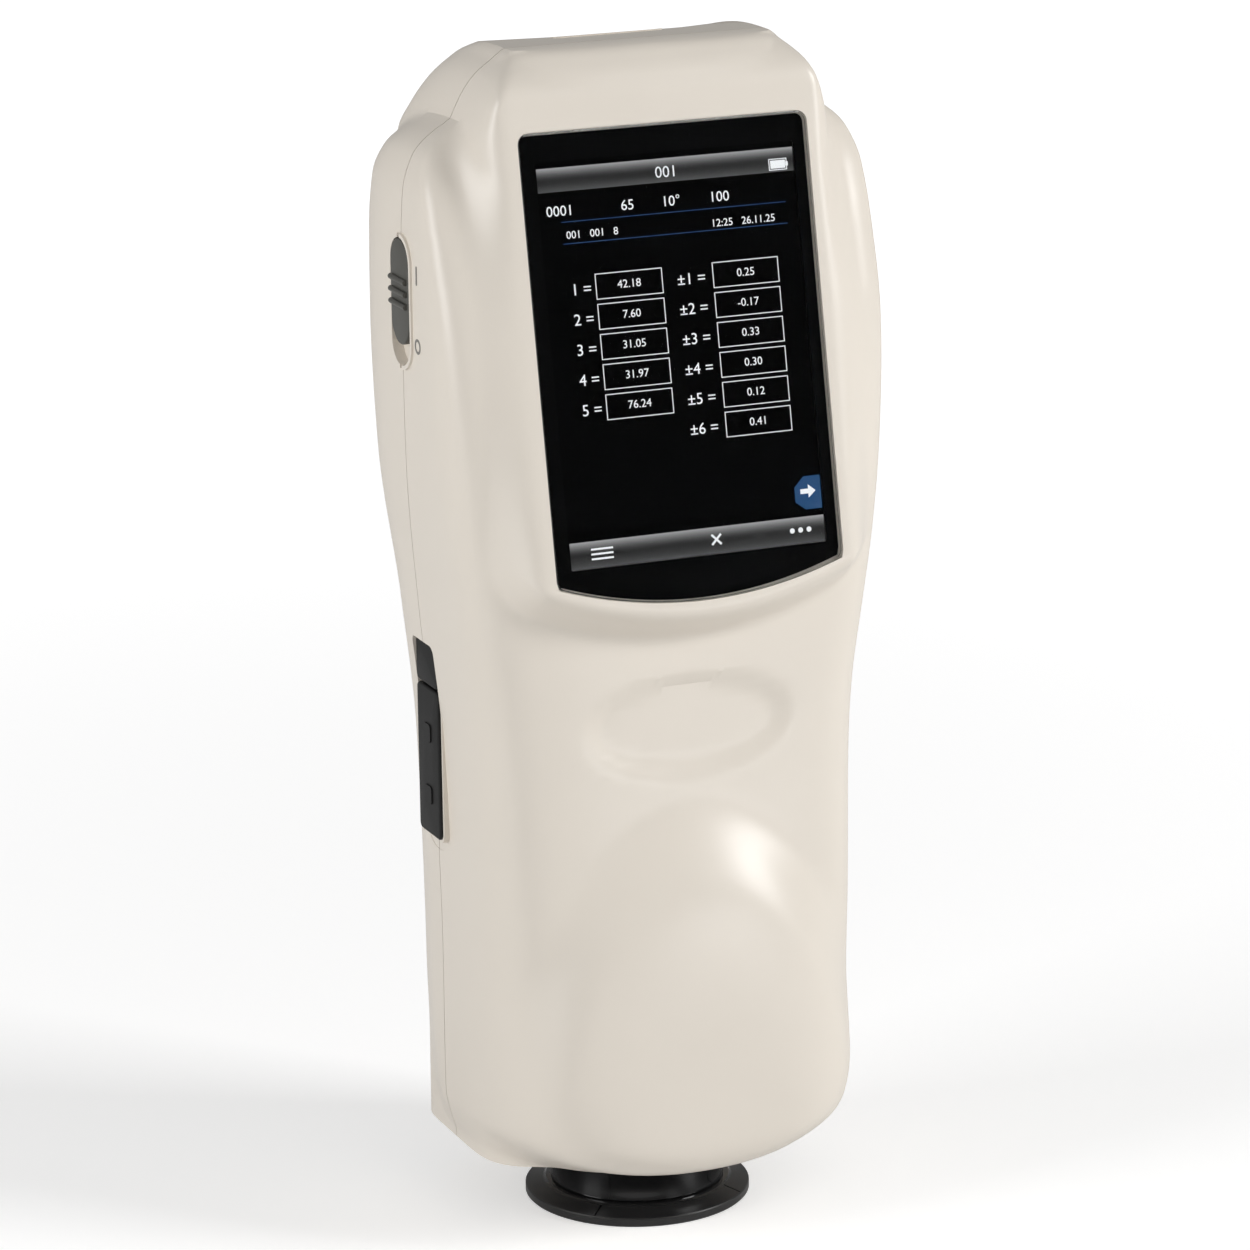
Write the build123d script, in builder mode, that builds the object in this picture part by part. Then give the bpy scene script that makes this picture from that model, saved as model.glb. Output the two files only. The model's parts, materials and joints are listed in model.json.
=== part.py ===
from build123d import *
import os
from math import atan2, cos, hypot, pi, radians, sin, tan

# Hand-held colour spectrophotometer, standing on its round measuring foot. Millimetres.
# The origin is the centre of the measuring face on the foot and +Z runs up the instrument.
# The screen faces -Y, and the power switch and the port cover are on the -X side.

# Housing: half widths, front faces and rear faces at heights up the instrument
HOUSING_BOTTOM = 12.5
HOUSING_TOP = 229.0
BODY_HALF_WIDTH = [(12.5, 28.6), (14, 31.6), (17, 34.4), (23, 36.2), (60, 37.2), (96, 38.4), (120, 40.4),
                   (150, 43.7), (178, 45.2), (193, 45.0), (203, 43.4), (210, 40.2), (215, 35), (219, 26)]
BODY_FRONT = [(12.5, -24), (14, -26.8), (17, -29.2), (23, -30.6), (60, -30.8), (96, -28.6), (120, -27.4),
              (150, -26.0), (178, -23.0), (194, -19), (204, -14.5), (211, -10), (219, -2)]
BODY_REAR = [(12.5, 24), (14, 27.2), (17, 29.8), (23, 31.6), (60, 33.0), (110, 34.5), (140, 36.6),
             (170, 38.0), (192, 37.4), (203, 35.2), (210, 31.6), (215, 27), (219, 20)]
CROWN_HALF_WIDTH = [(120, 34), (200, 36.4), (212, 35.8), (219, 33.8), (224, 31.2), (227.2, 28), (228.6, 25.8),
                    (229, 23.5)]
CROWN_FRONT = [(120, -14), (200, -16), (212, -17.5), (219, -18), (224, -16.8), (227.2, -14.6),
               (228.6, -13.0), (229, -11.5)]
CROWN_REAR = [(120, 30), (200, 34.4), (212, 33.2), (219, 30.4), (224, 27.2), (227.2, 23.6), (228.6, 21.2),
              (229, 19)]
PARTING_LINE = [(12.5, 10), (60, 6.8), (116, 5.6), (150, 2), (180, -1), (214, -1), (221, -2.5), (229, -6.5)]
WALL = 2.6
BODY_FRONT_SQUARENESS = 5.5
BODY_REAR_SQUARENESS = 3.0
CROWN_SQUARENESS = 4.5
CROWN_BLEND = 3.0
OUTLINE_SAMPLES = 240
FRONT_SPANS = 34
CAVITY_SPANS = 20
REAR_SPANS = 16
SEAM = 0.2
TAB_HEIGHTS = [48.0, 132.0, 165.0]
TAB_THICKNESS = 1.4
TAB_REACH = 3.0
TAB_LENGTH = 9.0
TAB_CLEARANCE = 0.35
CAVITY_OVERRUN = 2.0
CUT_LENGTH = 60.0

# Screen block: the raised field round the window, leaning back
LEAN = 11.2
SCREEN_Y = -27.2
SCREEN_Z = 174.3
BLOCK_HALF_WIDTH = 30.3
BLOCK_BOTTOM = 127.0
BLOCK_BOTTOM_ARCH = 6.5
BLOCK_SIDE_BLEND = 9.0
BLOCK_BOTTOM_BLEND = 8.5
BROW_START = 221.0
BROW_ROLL = 6.4

# Bulge over the optics and the thumb dish above it
BULGE_Z = 25.0
BULGE_HALF_WIDTH = 39.5
BULGE_RISE = 65.0
BULGE_FALL = 38.0
BULGE_HEIGHT = 8.4
DISH_Z = 102.5
DISH_HALF_WIDTH = 22.5
DISH_HALF_HEIGHT = 10.0
DISH_DEPTH = 1.3

# Window, display and boards, stacked behind each other along the screen's own normal
WINDOW_WIDTH = 57.5
WINDOW_HEIGHT = 83.3
WINDOW_SAG = 5.0
WINDOW_CORNER = 2.0
WINDOW_THICKNESS = 1.2
WINDOW_RECESS = 0.15
WINDOW_CLEARANCE = 0.15
ADHESIVE_THICKNESS = 0.2
DISPLAY_WIDTH = 55.0
DISPLAY_HEIGHT = 82.0
DISPLAY_THICKNESS = 3.0
VIEW_WIDTH = 52.4
VIEW_HEIGHT = 77.4
BRACKET_THICKNESS = 1.0
STANDOFF_LENGTH = 5.0
BOARD_THICKNESS = 1.6
BOARD_WIDTH = 58.0
BOARD_HEIGHT = 78.0
STACK_GAP = 0.1

# Measuring foot, neck and optics on the vertical axis
FOOT_RADIUS = 22.0
FOOT_RIM = 1.8
FOOT_CONE_TOP = 3.2
FOOT_SHOULDER_RADIUS = 18.2
APERTURE_RADIUS = 4.0
APERTURE_LAND = 1.0
SPIGOT_RADIUS = 14.0
SPIGOT_TOP = 8.0
SPIGOT_CLEARANCE = 0.06
LUG_REACH = 1.5
LUG_BOTTOM = 6.2
LUG_HEIGHT = 1.6
LUG_ANGLE = 24.0
LUG_COUNT = 3
TWIST_TO_RELEASE = 40.0
NECK_FOOT_GAP = 0.3
NECK_WAIST_RADIUS = 17.0
NECK_TOP_RADIUS = 20.4
NECK_FLANGE_RADIUS = 24.0
NECK_FLANGE_THICKNESS = 1.5
NECK_CLEARANCE = 0.25
GROOVE_CLEARANCE = 0.15
LUG_END_CLEARANCE = 1.5
DUST_WINDOW_RADIUS = 11.0
DUST_WINDOW_THICKNESS = 1.0
SPHERE_INNER_RADIUS = 18.0
SPHERE_OUTER_RADIUS = 20.4
SPHERE_FLANGE_RADIUS = 24.4
SPHERE_FLANGE_THICKNESS = 2.0
SPHERE_COLLAR_RADIUS = 14.0
SPHERE_RISE = 22.0
VIEW_TILT = 8.0
LENS_TUBE_RADIUS = 8.0
LENS_TUBE_LENGTH = 24.0
SPECTROMETER_WIDTH = 40.0
SPECTROMETER_DEPTH = 28.0
SPECTROMETER_HEIGHT = 30.0
SPECTROMETER_WALL = 2.0
SEAL_Z = 4.8
SEAL_SECTION_RADIUS = 0.5
SEAL_GROOVE_HALF = 0.55
SEAL_GROOVE_DEPTH = 1.0
SNAP_RING_WIDTH = 1.2
SNAP_RING_THICKNESS = 0.9
SAMPLE_PORT_RADIUS = 9.5
VIEW_BOSS_REACH = 24.0
VIEW_PORT_RADIUS = 4.5
LAMP_RISE = 8.0
LAMP_PORT_RADIUS = 3.5
LAMP_BOSS_X = 22.5
LAMP_CAN_LENGTH = 2.0
LENS_SEAT = 8.0
LENS_CURVE_RADIUS = 16.0
GRATING_CURVE_RADIUS = 60.0

# Battery on the rear wall, behind the main board
BATTERY_WIDTH = 38.0
BATTERY_DEPTH = 15.0
BATTERY_HEIGHT = 62.0
BATTERY_Z = 168.0
TRAY_WALL = 1.2

# Raised bar moulded on the crown
CROWN_BAR_WIDTH = 22.0
CROWN_BAR_DEPTH = 8.0
CROWN_BAR_Y = 9.5
CROWN_BAR_PROUD = 1.0

# Power switch on the left side
SWITCH_Z = 182.4
SWITCH_Y = -1.0
SWITCH_POCKET_WIDTH = 9.4
SWITCH_POCKET_LENGTH = 24.2
SWITCH_POCKET_DEPTH = 1.7
SWITCH_KNOB_WIDTH = 9.0
SWITCH_KNOB_LENGTH = 20.0
SWITCH_KNOB_PROUD = 0.5
SWITCH_RIB_PROUD = 0.8
SWITCH_TRAVEL = 3.6
SWITCH_STEM_REACH = 2.6
SWITCH_STEM_WIDTH = 2.8
SWITCH_STEM_LENGTH = 4.0
SWITCH_SLOT_CLEARANCE = 0.6
SWITCH_RIB_STEP = 2.3
SWITCH_RIB_WIDTH = 1.1
SWITCH_BODY_WIDTH = 9.0
SWITCH_BODY_LENGTH = 18.0

# Moulded rim round the switch pocket and the port cover
RIM_WIDTH = 0.75
RIM_PROUD = 0.4

# Port cover on the left side
PORT_Y = 6.4
PORT_TOP = 114.6
PORT_BOTTOM = 76.2
PORT_WIDTH = 11.0
PORT_HINGE_DROP = 8.8
PORT_COVER_PROUD = 1.0
PORT_BAY_WIDTH = 8.4
PORT_BAY_DEPTH = 6.0
PORT_CLEARANCE = 0.15
PORT_CORNER = 1.6
SOCKET_LENGTH = 6.5
SOCKET_DEPTH = 5.0
HINGE_GAP = 0.5
SHROUD_WALL = 1.2
USB_Z = 98.0
SERIAL_Z = 85.0

# Measuring key on the right side
KEY_Z = 66.0
KEY_WIDTH = 9.0
KEY_LENGTH = 22.0
KEY_PROUD = 1.0
KEY_TRAVEL = 0.7
KEY_CLEARANCE = 0.15
KEY_FLANGE_WIDTH = 1.2
KEY_FLANGE_THICKNESS = 1.0
KEY_PLUNGER_RADIUS = 1.6
TACT_BUTTON_HEIGHT = 0.8
TACT_BODY_HEIGHT = 2.6

# Housing screws, on bosses that run from the rear wall to the front wall
SCREW_PLACES = [(27.0, 26.0), (30.5, 119.0), (34.0, 202.0)]
HEAD_SEAT = 3.0
SCREW_RADIUS = 1.25
SCREW_HEAD_RADIUS = 2.3
SCREW_HEAD_HEIGHT = 1.6
BOSS_RADIUS = 3.4
INSERT_RADIUS = 1.9
INSERT_LENGTH = 6.0
SCREW_CLEARANCE = 0.25
HEAD_CLEARANCE = 0.3
INSERT_CLEARANCE = 0.02

os.makedirs("parts", exist_ok=True)


def along(stations, z):
    """Value at height z on the smooth curve through (height, value) stations, without overshoot."""
    if z <= stations[0][0]:
        return stations[0][1]
    if z >= stations[-1][0]:
        return stations[-1][1]
    spans = list(zip(stations, stations[1:]))
    slopes = [(b[1] - a[1]) / (b[0] - a[0]) for a, b in spans]
    inner = [0.0 if p * q <= 0 else 2 * p * q / (p + q) for p, q in zip(slopes, slopes[1:])]
    tangents = [slopes[0]] + inner + [slopes[-1]]
    i = next(k for k, (a, b) in enumerate(spans) if z <= b[0])
    (z0, v0), (z1, v1) = spans[i]
    h = z1 - z0
    t = (z - z0) / h
    rising = (1 + 2 * t) * (1 - t) ** 2 * v0 + t * (1 - t) ** 2 * h * tangents[i]
    return rising + t * t * (3 - 2 * t) * v1 + t * t * (t - 1) * h * tangents[i + 1]


def ease(t):
    """0 below 0, 1 above 1 and an S-shaped step between."""
    t = max(0.0, min(1.0, t))
    return t * t * (3 - 2 * t)


def oval_radius(half_x, half_y, squareness, angle):
    """Distance from the centre of a squared oval to its edge at an angle."""
    return (abs(cos(angle) / half_x) ** squareness + abs(sin(angle) / half_y) ** squareness) ** (-1 / squareness)


def blended_max(p, q, blend):
    """The larger of two radii, rounded where they are about equal, as a moulded inner corner is."""
    h = max(0.0, min(1.0, 0.5 + 0.5 * (p - q) / blend))
    return q * (1 - h) + p * h + blend * h * (1 - h)


def screen_y(z):
    """Where the leaning screen plane stands at height z."""
    return SCREEN_Y + (z - SCREEN_Z) * tan(radians(LEAN))


def sculpted_front(x, y, z):
    """The plain front at (x, y, z), pushed out to the screen block and the bulge and in at the thumb dish."""
    beside = max(0.0, (abs(x) - BLOCK_HALF_WIDTH) / BLOCK_SIDE_BLEND)
    bottom = BLOCK_BOTTOM + BLOCK_BOTTOM_ARCH * (x / BLOCK_HALF_WIDTH) ** 2
    below = max(0.0, (bottom - z) / BLOCK_BOTTOM_BLEND)
    block = 1 - ease(hypot(beside, below))
    roll = max(0.0, (z - BROW_START) / (HOUSING_TOP - BROW_START))
    block_y = screen_y(z) + BROW_ROLL * roll ** 2
    if block_y < y:
        y += (block_y - y) * block
    rise = (z - BULGE_Z) / BULGE_RISE
    span = rise ** 1.6 if rise > 0 else ((BULGE_Z - z) / BULGE_FALL) ** 2
    y -= BULGE_HEIGHT * ease(1.25 * (1 - (x / BULGE_HALF_WIDTH) ** 2 - span))
    dish = 1 - (x / DISH_HALF_WIDTH) ** 2 - ((z - DISH_Z) / DISH_HALF_HEIGHT) ** 2
    return y + DISH_DEPTH * ease(2.2 * dish)


def half_outline(z, inset, front):
    """Samples round one half of the housing at height z, from one side of the seam to the other."""
    centre_y = along(PARTING_LINE, z)
    body_x, crown_x = along(BODY_HALF_WIDTH, z) - inset, along(CROWN_HALF_WIDTH, z) - inset
    body_y = (centre_y - along(BODY_FRONT, z) if front else along(BODY_REAR, z) - centre_y) - inset
    crown_y = (centre_y - along(CROWN_FRONT, z) if front else along(CROWN_REAR, z) - centre_y) - inset
    squareness = BODY_FRONT_SQUARENESS if front else BODY_REAR_SQUARENESS
    flatness = max(body_y, crown_y) / max(body_x, crown_x)
    samples = []
    for i in range(OUTLINE_SAMPLES + 1):
        swept = pi * i / OUTLINE_SAMPLES + (pi if front else 0.0)
        angle = atan2(flatness * sin(swept), cos(swept))
        body = oval_radius(body_x, body_y, squareness, angle)
        crown = oval_radius(crown_x, crown_y, CROWN_SQUARENESS, angle)
        radius = blended_max(body, crown, CROWN_BLEND)
        x, y = radius * cos(angle), centre_y + radius * sin(angle)
        if front:
            y += (sculpted_front(x, y - inset, z) + inset - y) * ease(-sin(angle) / 0.35)
        samples.append((x, y + (-SEAM if front else SEAM) / 2))
    return samples


def evenly_spaced(samples, spans):
    """Points that part an outline into equal lengths, found along the short steps between its samples."""
    lengths = [0.0]
    for (x0, y0), (x1, y1) in zip(samples, samples[1:]):
        lengths.append(lengths[-1] + hypot(x1 - x0, y1 - y0))
    points = [samples[0]]
    for i in range(1, spans):
        target = lengths[-1] * i / spans
        k = next(j for j, length in enumerate(lengths) if length > target)
        share = (target - lengths[k - 1]) / (lengths[k] - lengths[k - 1])
        (x0, y0), (x1, y1) = samples[k - 1], samples[k]
        points.append((x0 + (x1 - x0) * share, y0 + (y1 - y0) * share))
    return points + [samples[-1]]


def half_form(inset, heights, spans, front, overrun=0.0):
    """Half of the housing's volume, lofted through outlines, its open side run on past the seam."""
    forward = -1 if front else 1
    fractions = [i / spans for i in range(spans + 1)]
    with BuildPart() as form:
        for z in heights:
            points = evenly_spaced(half_outline(z, inset, front), spans)
            (x0, y0), (x1, y1) = points[0], points[-1]
            with BuildSketch(Plane.XY.offset(z)):
                with BuildLine():
                    add(Edge.make_spline(points, parameters=fractions))
                    if overrun:
                        Polyline((x1, y1), (x1, y1 - forward * overrun), (x0, y0 - forward * overrun), (x0, y0))
                    else:
                        Line((x1, y1), (x0, y0))
                make_face()
        loft(ruled=True)
    return form.part


def skin_y(x, z, front):
    """Y of the housing's outer face at (x, z)."""
    return min(half_outline(z, 0.0, front), key=lambda sample: abs(sample[0] - x))[1]


def finish(builder, name):
    """Label one piece and write it to its own file."""
    builder.part.label = name
    export_step(builder.part, f"parts/{name}.step")


# Planes that the pieces share
screen_normal = Vector(0, -cos(radians(LEAN)), sin(radians(LEAN)))
SCREEN = Plane(origin=(0, SCREEN_Y, SCREEN_Z), x_dir=(1, 0, 0), z_dir=screen_normal)
side_half_width = along(BODY_HALF_WIDTH, SWITCH_Z)
switch_floor_x = -(side_half_width - SWITCH_POCKET_DEPTH)
SWITCH_FLOOR = Plane(origin=(switch_floor_x, SWITCH_Y, SWITCH_Z), x_dir=(0, -1, 0), z_dir=(-1, 0, 0))
port_half_width = along(BODY_HALF_WIDTH, (PORT_TOP + PORT_BOTTOM) / 2)
port_face_x = -(port_half_width + PORT_COVER_PROUD)
PORT_MIDDLE = (PORT_TOP + PORT_BOTTOM) / 2
PORT = Plane(origin=(port_face_x, PORT_Y, PORT_MIDDLE), x_dir=(0, -1, 0), z_dir=(-1, 0, 0))
key_y = along(PARTING_LINE, KEY_Z)
key_face_x = along(BODY_HALF_WIDTH, KEY_Z) + KEY_PROUD
KEY = Plane(origin=(key_face_x, key_y, KEY_Z), x_dir=(0, 1, 0), z_dir=(1, 0, 0))
sphere_z = HOUSING_BOTTOM + WALL + NECK_FLANGE_THICKNESS + SPHERE_RISE
view_axis = Vector(sin(radians(VIEW_TILT)), 0, cos(radians(VIEW_TILT)))
LAMP = Plane(origin=(0, 0, sphere_z + LAMP_RISE), z_dir=(1, 0, 0))
VIEW = Plane(origin=(0, 0, sphere_z), x_dir=(cos(radians(VIEW_TILT)), 0, -sin(radians(VIEW_TILT))), z_dir=view_axis)
BAY_TOP = PORT_TOP - PORT_HINGE_DROP - 2.0
BAY_BOTTOM = PORT_BOTTOM + 2.4


def window_face(margin):
    """The window's outline, straight on three sides and bowed at the bottom, grown by a margin."""
    half, top, bottom = WINDOW_WIDTH / 2 + margin, WINDOW_HEIGHT / 2 + margin, -WINDOW_HEIGHT / 2 - margin
    with BuildSketch() as face:
        with BuildLine():
            Polyline((-half, bottom), (-half, top), (half, top), (half, bottom))
            ThreePointArc((half, bottom), (0, bottom - WINDOW_SAG), (-half, bottom))
        make_face()
        fillet(face.vertices(), WINDOW_CORNER + margin)
    return face.sketch


# Levels of the sections, close together where the form turns quickly
HEIGHTS = [12.5, 13.3, 14.8, 17, 21, 26, 40, 62, 80, 92, 102.5, 113, 118.5, 122, 126, 130, 135, 142, 160, 180,
           194, 202, 208, 212, 215.5, 219, 222.5, 225.5, 227.6, 229]
CAVITY_HEIGHTS = [15.1, 18, 24, 40, 62, 80, 92, 102, 113, 121, 128, 136, 160, 180, 196, 206, 214, 220, 226.4]

front_form = half_form(0.0, HEIGHTS, FRONT_SPANS, True)
front_cavity = half_form(WALL, CAVITY_HEIGHTS, CAVITY_SPANS, True, overrun=CAVITY_OVERRUN)
rear_form = half_form(0.0, HEIGHTS, REAR_SPANS, False)
rear_cavity = half_form(WALL, CAVITY_HEIGHTS, REAR_SPANS, False, overrun=CAVITY_OVERRUN)

screw_spots = [(side * x, z) for x, z in SCREW_PLACES for side in (-1, 1)]


def boss_plane(x, z, y):
    """Plane across a housing screw at depth y, its normal pointing to the rear."""
    return Plane(origin=(x, y, z), x_dir=(-1, 0, 0), z_dir=(0, 1, 0))


def side_openings():
    """Switch pocket and slot, port bay and key hole, as one tool that both housing halves are cut with."""
    with BuildPart() as tool:
        with BuildSketch(SWITCH_FLOOR):
            SlotOverall(SWITCH_POCKET_LENGTH, SWITCH_POCKET_WIDTH, rotation=90)
        extrude(amount=6)
        with BuildSketch(SWITCH_FLOOR):
            SlotOverall(SWITCH_TRAVEL + SWITCH_STEM_LENGTH + 4 * SWITCH_SLOT_CLEARANCE,
                        SWITCH_STEM_WIDTH + SWITCH_SLOT_CLEARANCE, rotation=90)
        extrude(amount=-4)
        with BuildSketch(PORT.offset(-PORT_COVER_PROUD - 1.4)):
            RectangleRounded(PORT_WIDTH + 2 * PORT_CLEARANCE, PORT_TOP - PORT_BOTTOM + 2 * PORT_CLEARANCE, PORT_CORNER)
        extrude(amount=6)
        with BuildSketch(PORT):
            with Locations((0, (BAY_TOP + BAY_BOTTOM) / 2 - PORT_MIDDLE)):
                RectangleRounded(PORT_BAY_WIDTH, BAY_TOP - BAY_BOTTOM, 1.0)
        extrude(amount=-8)
        with BuildSketch(PORT):
            with Locations((0, PORT_BOTTOM - PORT_MIDDLE - 0.6)):
                Ellipse(PORT_WIDTH / 2 - 0.6, 2.6)
        extrude(amount=-PORT_COVER_PROUD - 0.9)
        with BuildSketch(KEY.offset(-8)):
            SlotOverall(KEY_LENGTH + 2 * KEY_CLEARANCE, KEY_WIDTH + 2 * KEY_CLEARANCE, rotation=90)
        extrude(amount=12)
    return tool.part


def side_rims(front):
    """One housing half's share of the thin moulded beads round the switch pocket and along the port cover."""
    forward = -1 if front else 1
    with BuildPart() as rims:
        with BuildSketch(SWITCH_FLOOR.offset(-0.6)):
            SlotOverall(SWITCH_POCKET_LENGTH + 2 * RIM_WIDTH, SWITCH_POCKET_WIDTH + 2 * RIM_WIDTH, rotation=90)
        extrude(amount=SWITCH_POCKET_DEPTH + 0.6 + RIM_PROUD)
        with BuildSketch(PORT.offset(-PORT_COVER_PROUD - 1.6)):
            RectangleRounded(PORT_WIDTH + 2 * RIM_WIDTH, PORT_TOP - PORT_BOTTOM + 2 * RIM_WIDTH, 2.2)
        extrude(amount=1.6 + RIM_PROUD)
        for middle, length in ((SWITCH_Z, SWITCH_POCKET_LENGTH), (PORT_MIDDLE, PORT_TOP - PORT_BOTTOM)):
            ends = [along(PARTING_LINE, middle + way * (length / 2 + 2)) for way in (-1, 1)]
            trim_y = (min(ends) if front else max(ends)) + forward * SEAM / 2
            with Locations((0, trim_y - forward * 20, middle)):
                Box(200, 40, length + 8, mode=Mode.SUBTRACT)
    return rims.part


def screw_posts(front):
    """The bosses of one housing half, from just short of the seam into the wall."""
    with BuildPart() as posts:
        for x, z in screw_spots:
            start = along(PARTING_LINE, z) + (-SEAM if front else SEAM) / 2
            end = skin_y(abs(x) + BOSS_RADIUS, z, front) + (WALL / 3 if front else -WALL / 3)
            with BuildSketch(boss_plane(x, z, start)):
                Circle(BOSS_RADIUS)
            extrude(amount=end - start)
    return posts.part


def seam_tabs():
    """Locating tabs on the rear housing that reach past the seam, inside the front housing's walls."""
    with BuildPart() as tabs:
        for z in TAB_HEIGHTS:
            for side in (-1, 1):
                ends = (z - TAB_LENGTH / 2, z + TAB_LENGTH / 2)
                face = min(along(BODY_HALF_WIDTH, end) for end in ends) - WALL - TAB_CLEARANCE
                root_y = max(along(PARTING_LINE, end) for end in ends) + SEAM / 2
                with Locations((side * (face - TAB_THICKNESS / 2), root_y, z)):
                    Box(TAB_THICKNESS, 2 * TAB_REACH, TAB_LENGTH)
                with Locations((side * face, root_y + TAB_REACH / 2, z)):
                    Box(2 * TAB_THICKNESS, TAB_REACH, TAB_LENGTH)
    return tabs.part


side_tool = side_openings()

# Front housing: moulded shell with the window seat, the display opening and six insert bosses
with BuildPart() as front_housing:
    add(front_form)
    add(front_cavity, mode=Mode.SUBTRACT)
    add([screw_posts(True), side_rims(True)])
    with BuildPart(mode=Mode.PRIVATE) as front_cuts:
        add(side_tool)
        with BuildSketch(SCREEN.offset(-WINDOW_RECESS - WINDOW_THICKNESS - ADHESIVE_THICKNESS)):
            add(window_face(WINDOW_CLEARANCE))
        extrude(amount=20)
        with BuildSketch(SCREEN):
            Rectangle(VIEW_WIDTH, VIEW_HEIGHT)
        extrude(amount=-8)
        with BuildSketch(SCREEN.offset(-WALL - 0.1)):
            Rectangle(DISPLAY_WIDTH + 0.4, DISPLAY_HEIGHT + 0.4)
        extrude(amount=-5)
        for x, z in screw_spots:
            with BuildSketch(boss_plane(x, z, along(PARTING_LINE, z) + 1)):
                Circle(INSERT_RADIUS + INSERT_CLEARANCE)
            extrude(amount=-INSERT_LENGTH - 10)
        with BuildSketch(Plane.XY.offset(HOUSING_BOTTOM - 1)):
            Circle(NECK_TOP_RADIUS + NECK_CLEARANCE)
        extrude(amount=WALL + 2)
    add(front_cuts.part, mode=Mode.SUBTRACT)
finish(front_housing, "front_housing")

# Rear housing: deep moulded shell with locating tabs, screw bosses and the raised bar on the crown
with BuildPart() as rear_housing:
    add(rear_form)
    add(rear_cavity, mode=Mode.SUBTRACT)
    with BuildPart(mode=Mode.PRIVATE) as crown_bar:
        with BuildSketch(Plane.XY.offset(HOUSING_TOP - 1.0)):
            with Locations((0, CROWN_BAR_Y)):
                RectangleRounded(CROWN_BAR_WIDTH, CROWN_BAR_DEPTH, 1.5)
        extrude(amount=1.0 + CROWN_BAR_PROUD)
        fillet(crown_bar.edges().group_by(Axis.Z)[-1], 0.5)
    add([screw_posts(False), side_rims(False), seam_tabs(), crown_bar.part])
    with BuildPart(mode=Mode.PRIVATE) as rear_cuts:
        add(side_tool)
        for x, z in screw_spots:
            with BuildSketch(boss_plane(x, z, along(PARTING_LINE, z) - 1)):
                Circle(SCREW_RADIUS + SCREW_CLEARANCE)
            extrude(amount=CUT_LENGTH)
            with BuildSketch(boss_plane(x, z, along(PARTING_LINE, z) + HEAD_SEAT)):
                Circle(SCREW_HEAD_RADIUS + HEAD_CLEARANCE)
            extrude(amount=CUT_LENGTH)
        with BuildSketch(Plane.XY.offset(HOUSING_BOTTOM - 1)):
            Circle(NECK_TOP_RADIUS + NECK_CLEARANCE)
        extrude(amount=WALL + 2)
    add(rear_cuts.part, mode=Mode.SUBTRACT)
finish(rear_housing, "rear_housing")

# Housing screws: pan heads down their counterbores, shanks into the brass inserts
with BuildPart() as housing_screws:
    for x, z in screw_spots:
        head_y = along(PARTING_LINE, z) + HEAD_SEAT
        with BuildSketch(boss_plane(x, z, head_y)):
            Circle(SCREW_HEAD_RADIUS)
        extrude(amount=SCREW_HEAD_HEIGHT)
        with BuildSketch(boss_plane(x, z, head_y)):
            Circle(SCREW_RADIUS)
        extrude(amount=-HEAD_SEAT - INSERT_LENGTH + 0.5)
        with BuildSketch(boss_plane(x, z, head_y + SCREW_HEAD_HEIGHT)):
            RegularPolygon(0.9, 6)
        extrude(amount=-0.9, mode=Mode.SUBTRACT)
finish(housing_screws, "housing_screws")

# Threaded brass inserts, pressed into the front bosses flush with their ends
with BuildPart() as threaded_inserts:
    for x, z in screw_spots:
        with BuildSketch(boss_plane(x, z, along(PARTING_LINE, z) - SEAM / 2)):
            Circle(INSERT_RADIUS)
            Circle(SCREW_RADIUS + 0.03, mode=Mode.SUBTRACT)
        extrude(amount=-INSERT_LENGTH)
finish(threaded_inserts, "threaded_inserts")

# Display window: flat glass with a bowed lower edge, bonded on the ledge of its seat
with BuildPart() as display_window:
    with BuildSketch(SCREEN.offset(-WINDOW_RECESS - WINDOW_THICKNESS)):
        add(window_face(0.0))
    extrude(amount=WINDOW_THICKNESS)
    chamfer(display_window.faces().sort_by(Axis(SCREEN.origin, SCREEN.z_dir))[-1].outer_wire().edges(), 0.2)
finish(display_window, "display_window")

# Adhesive frame between the glass and the ledge
with BuildPart() as window_adhesive:
    with BuildSketch(SCREEN.offset(-WINDOW_RECESS - WINDOW_THICKNESS - ADHESIVE_THICKNESS)):
        add(window_face(-0.4))
        Rectangle(VIEW_WIDTH + 0.4, VIEW_HEIGHT + 0.4, mode=Mode.SUBTRACT)
    extrude(amount=ADHESIVE_THICKNESS)
finish(window_adhesive, "window_adhesive")

# Colour display module, against the back of the ledge
display_front = -WALL - STACK_GAP - 0.1
with BuildPart() as display_module:
    with BuildSketch(SCREEN.offset(display_front - DISPLAY_THICKNESS)):
        RectangleRounded(DISPLAY_WIDTH, DISPLAY_HEIGHT, 0.6)
    extrude(amount=DISPLAY_THICKNESS)
    with BuildSketch(SCREEN.offset(display_front)):
        Rectangle(VIEW_WIDTH - 0.8, VIEW_HEIGHT - 0.8)
    extrude(amount=0.4)
finish(display_module, "display_module")

# Pressed frame that holds the display module, with turned ears for the standoffs
bracket_back = display_front - DISPLAY_THICKNESS - STACK_GAP - BRACKET_THICKNESS
with BuildPart() as display_bracket:
    with BuildSketch(SCREEN.offset(bracket_back)):
        RectangleRounded(DISPLAY_WIDTH - 0.4, DISPLAY_HEIGHT - 2, 1.5)
        with GridLocations(0, DISPLAY_HEIGHT / 2 - 6, 1, 2):
            RectangleRounded(DISPLAY_WIDTH - 14, DISPLAY_HEIGHT / 2 - 14, 3, mode=Mode.SUBTRACT)
    extrude(amount=BRACKET_THICKNESS)
finish(display_bracket, "display_bracket")

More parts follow.
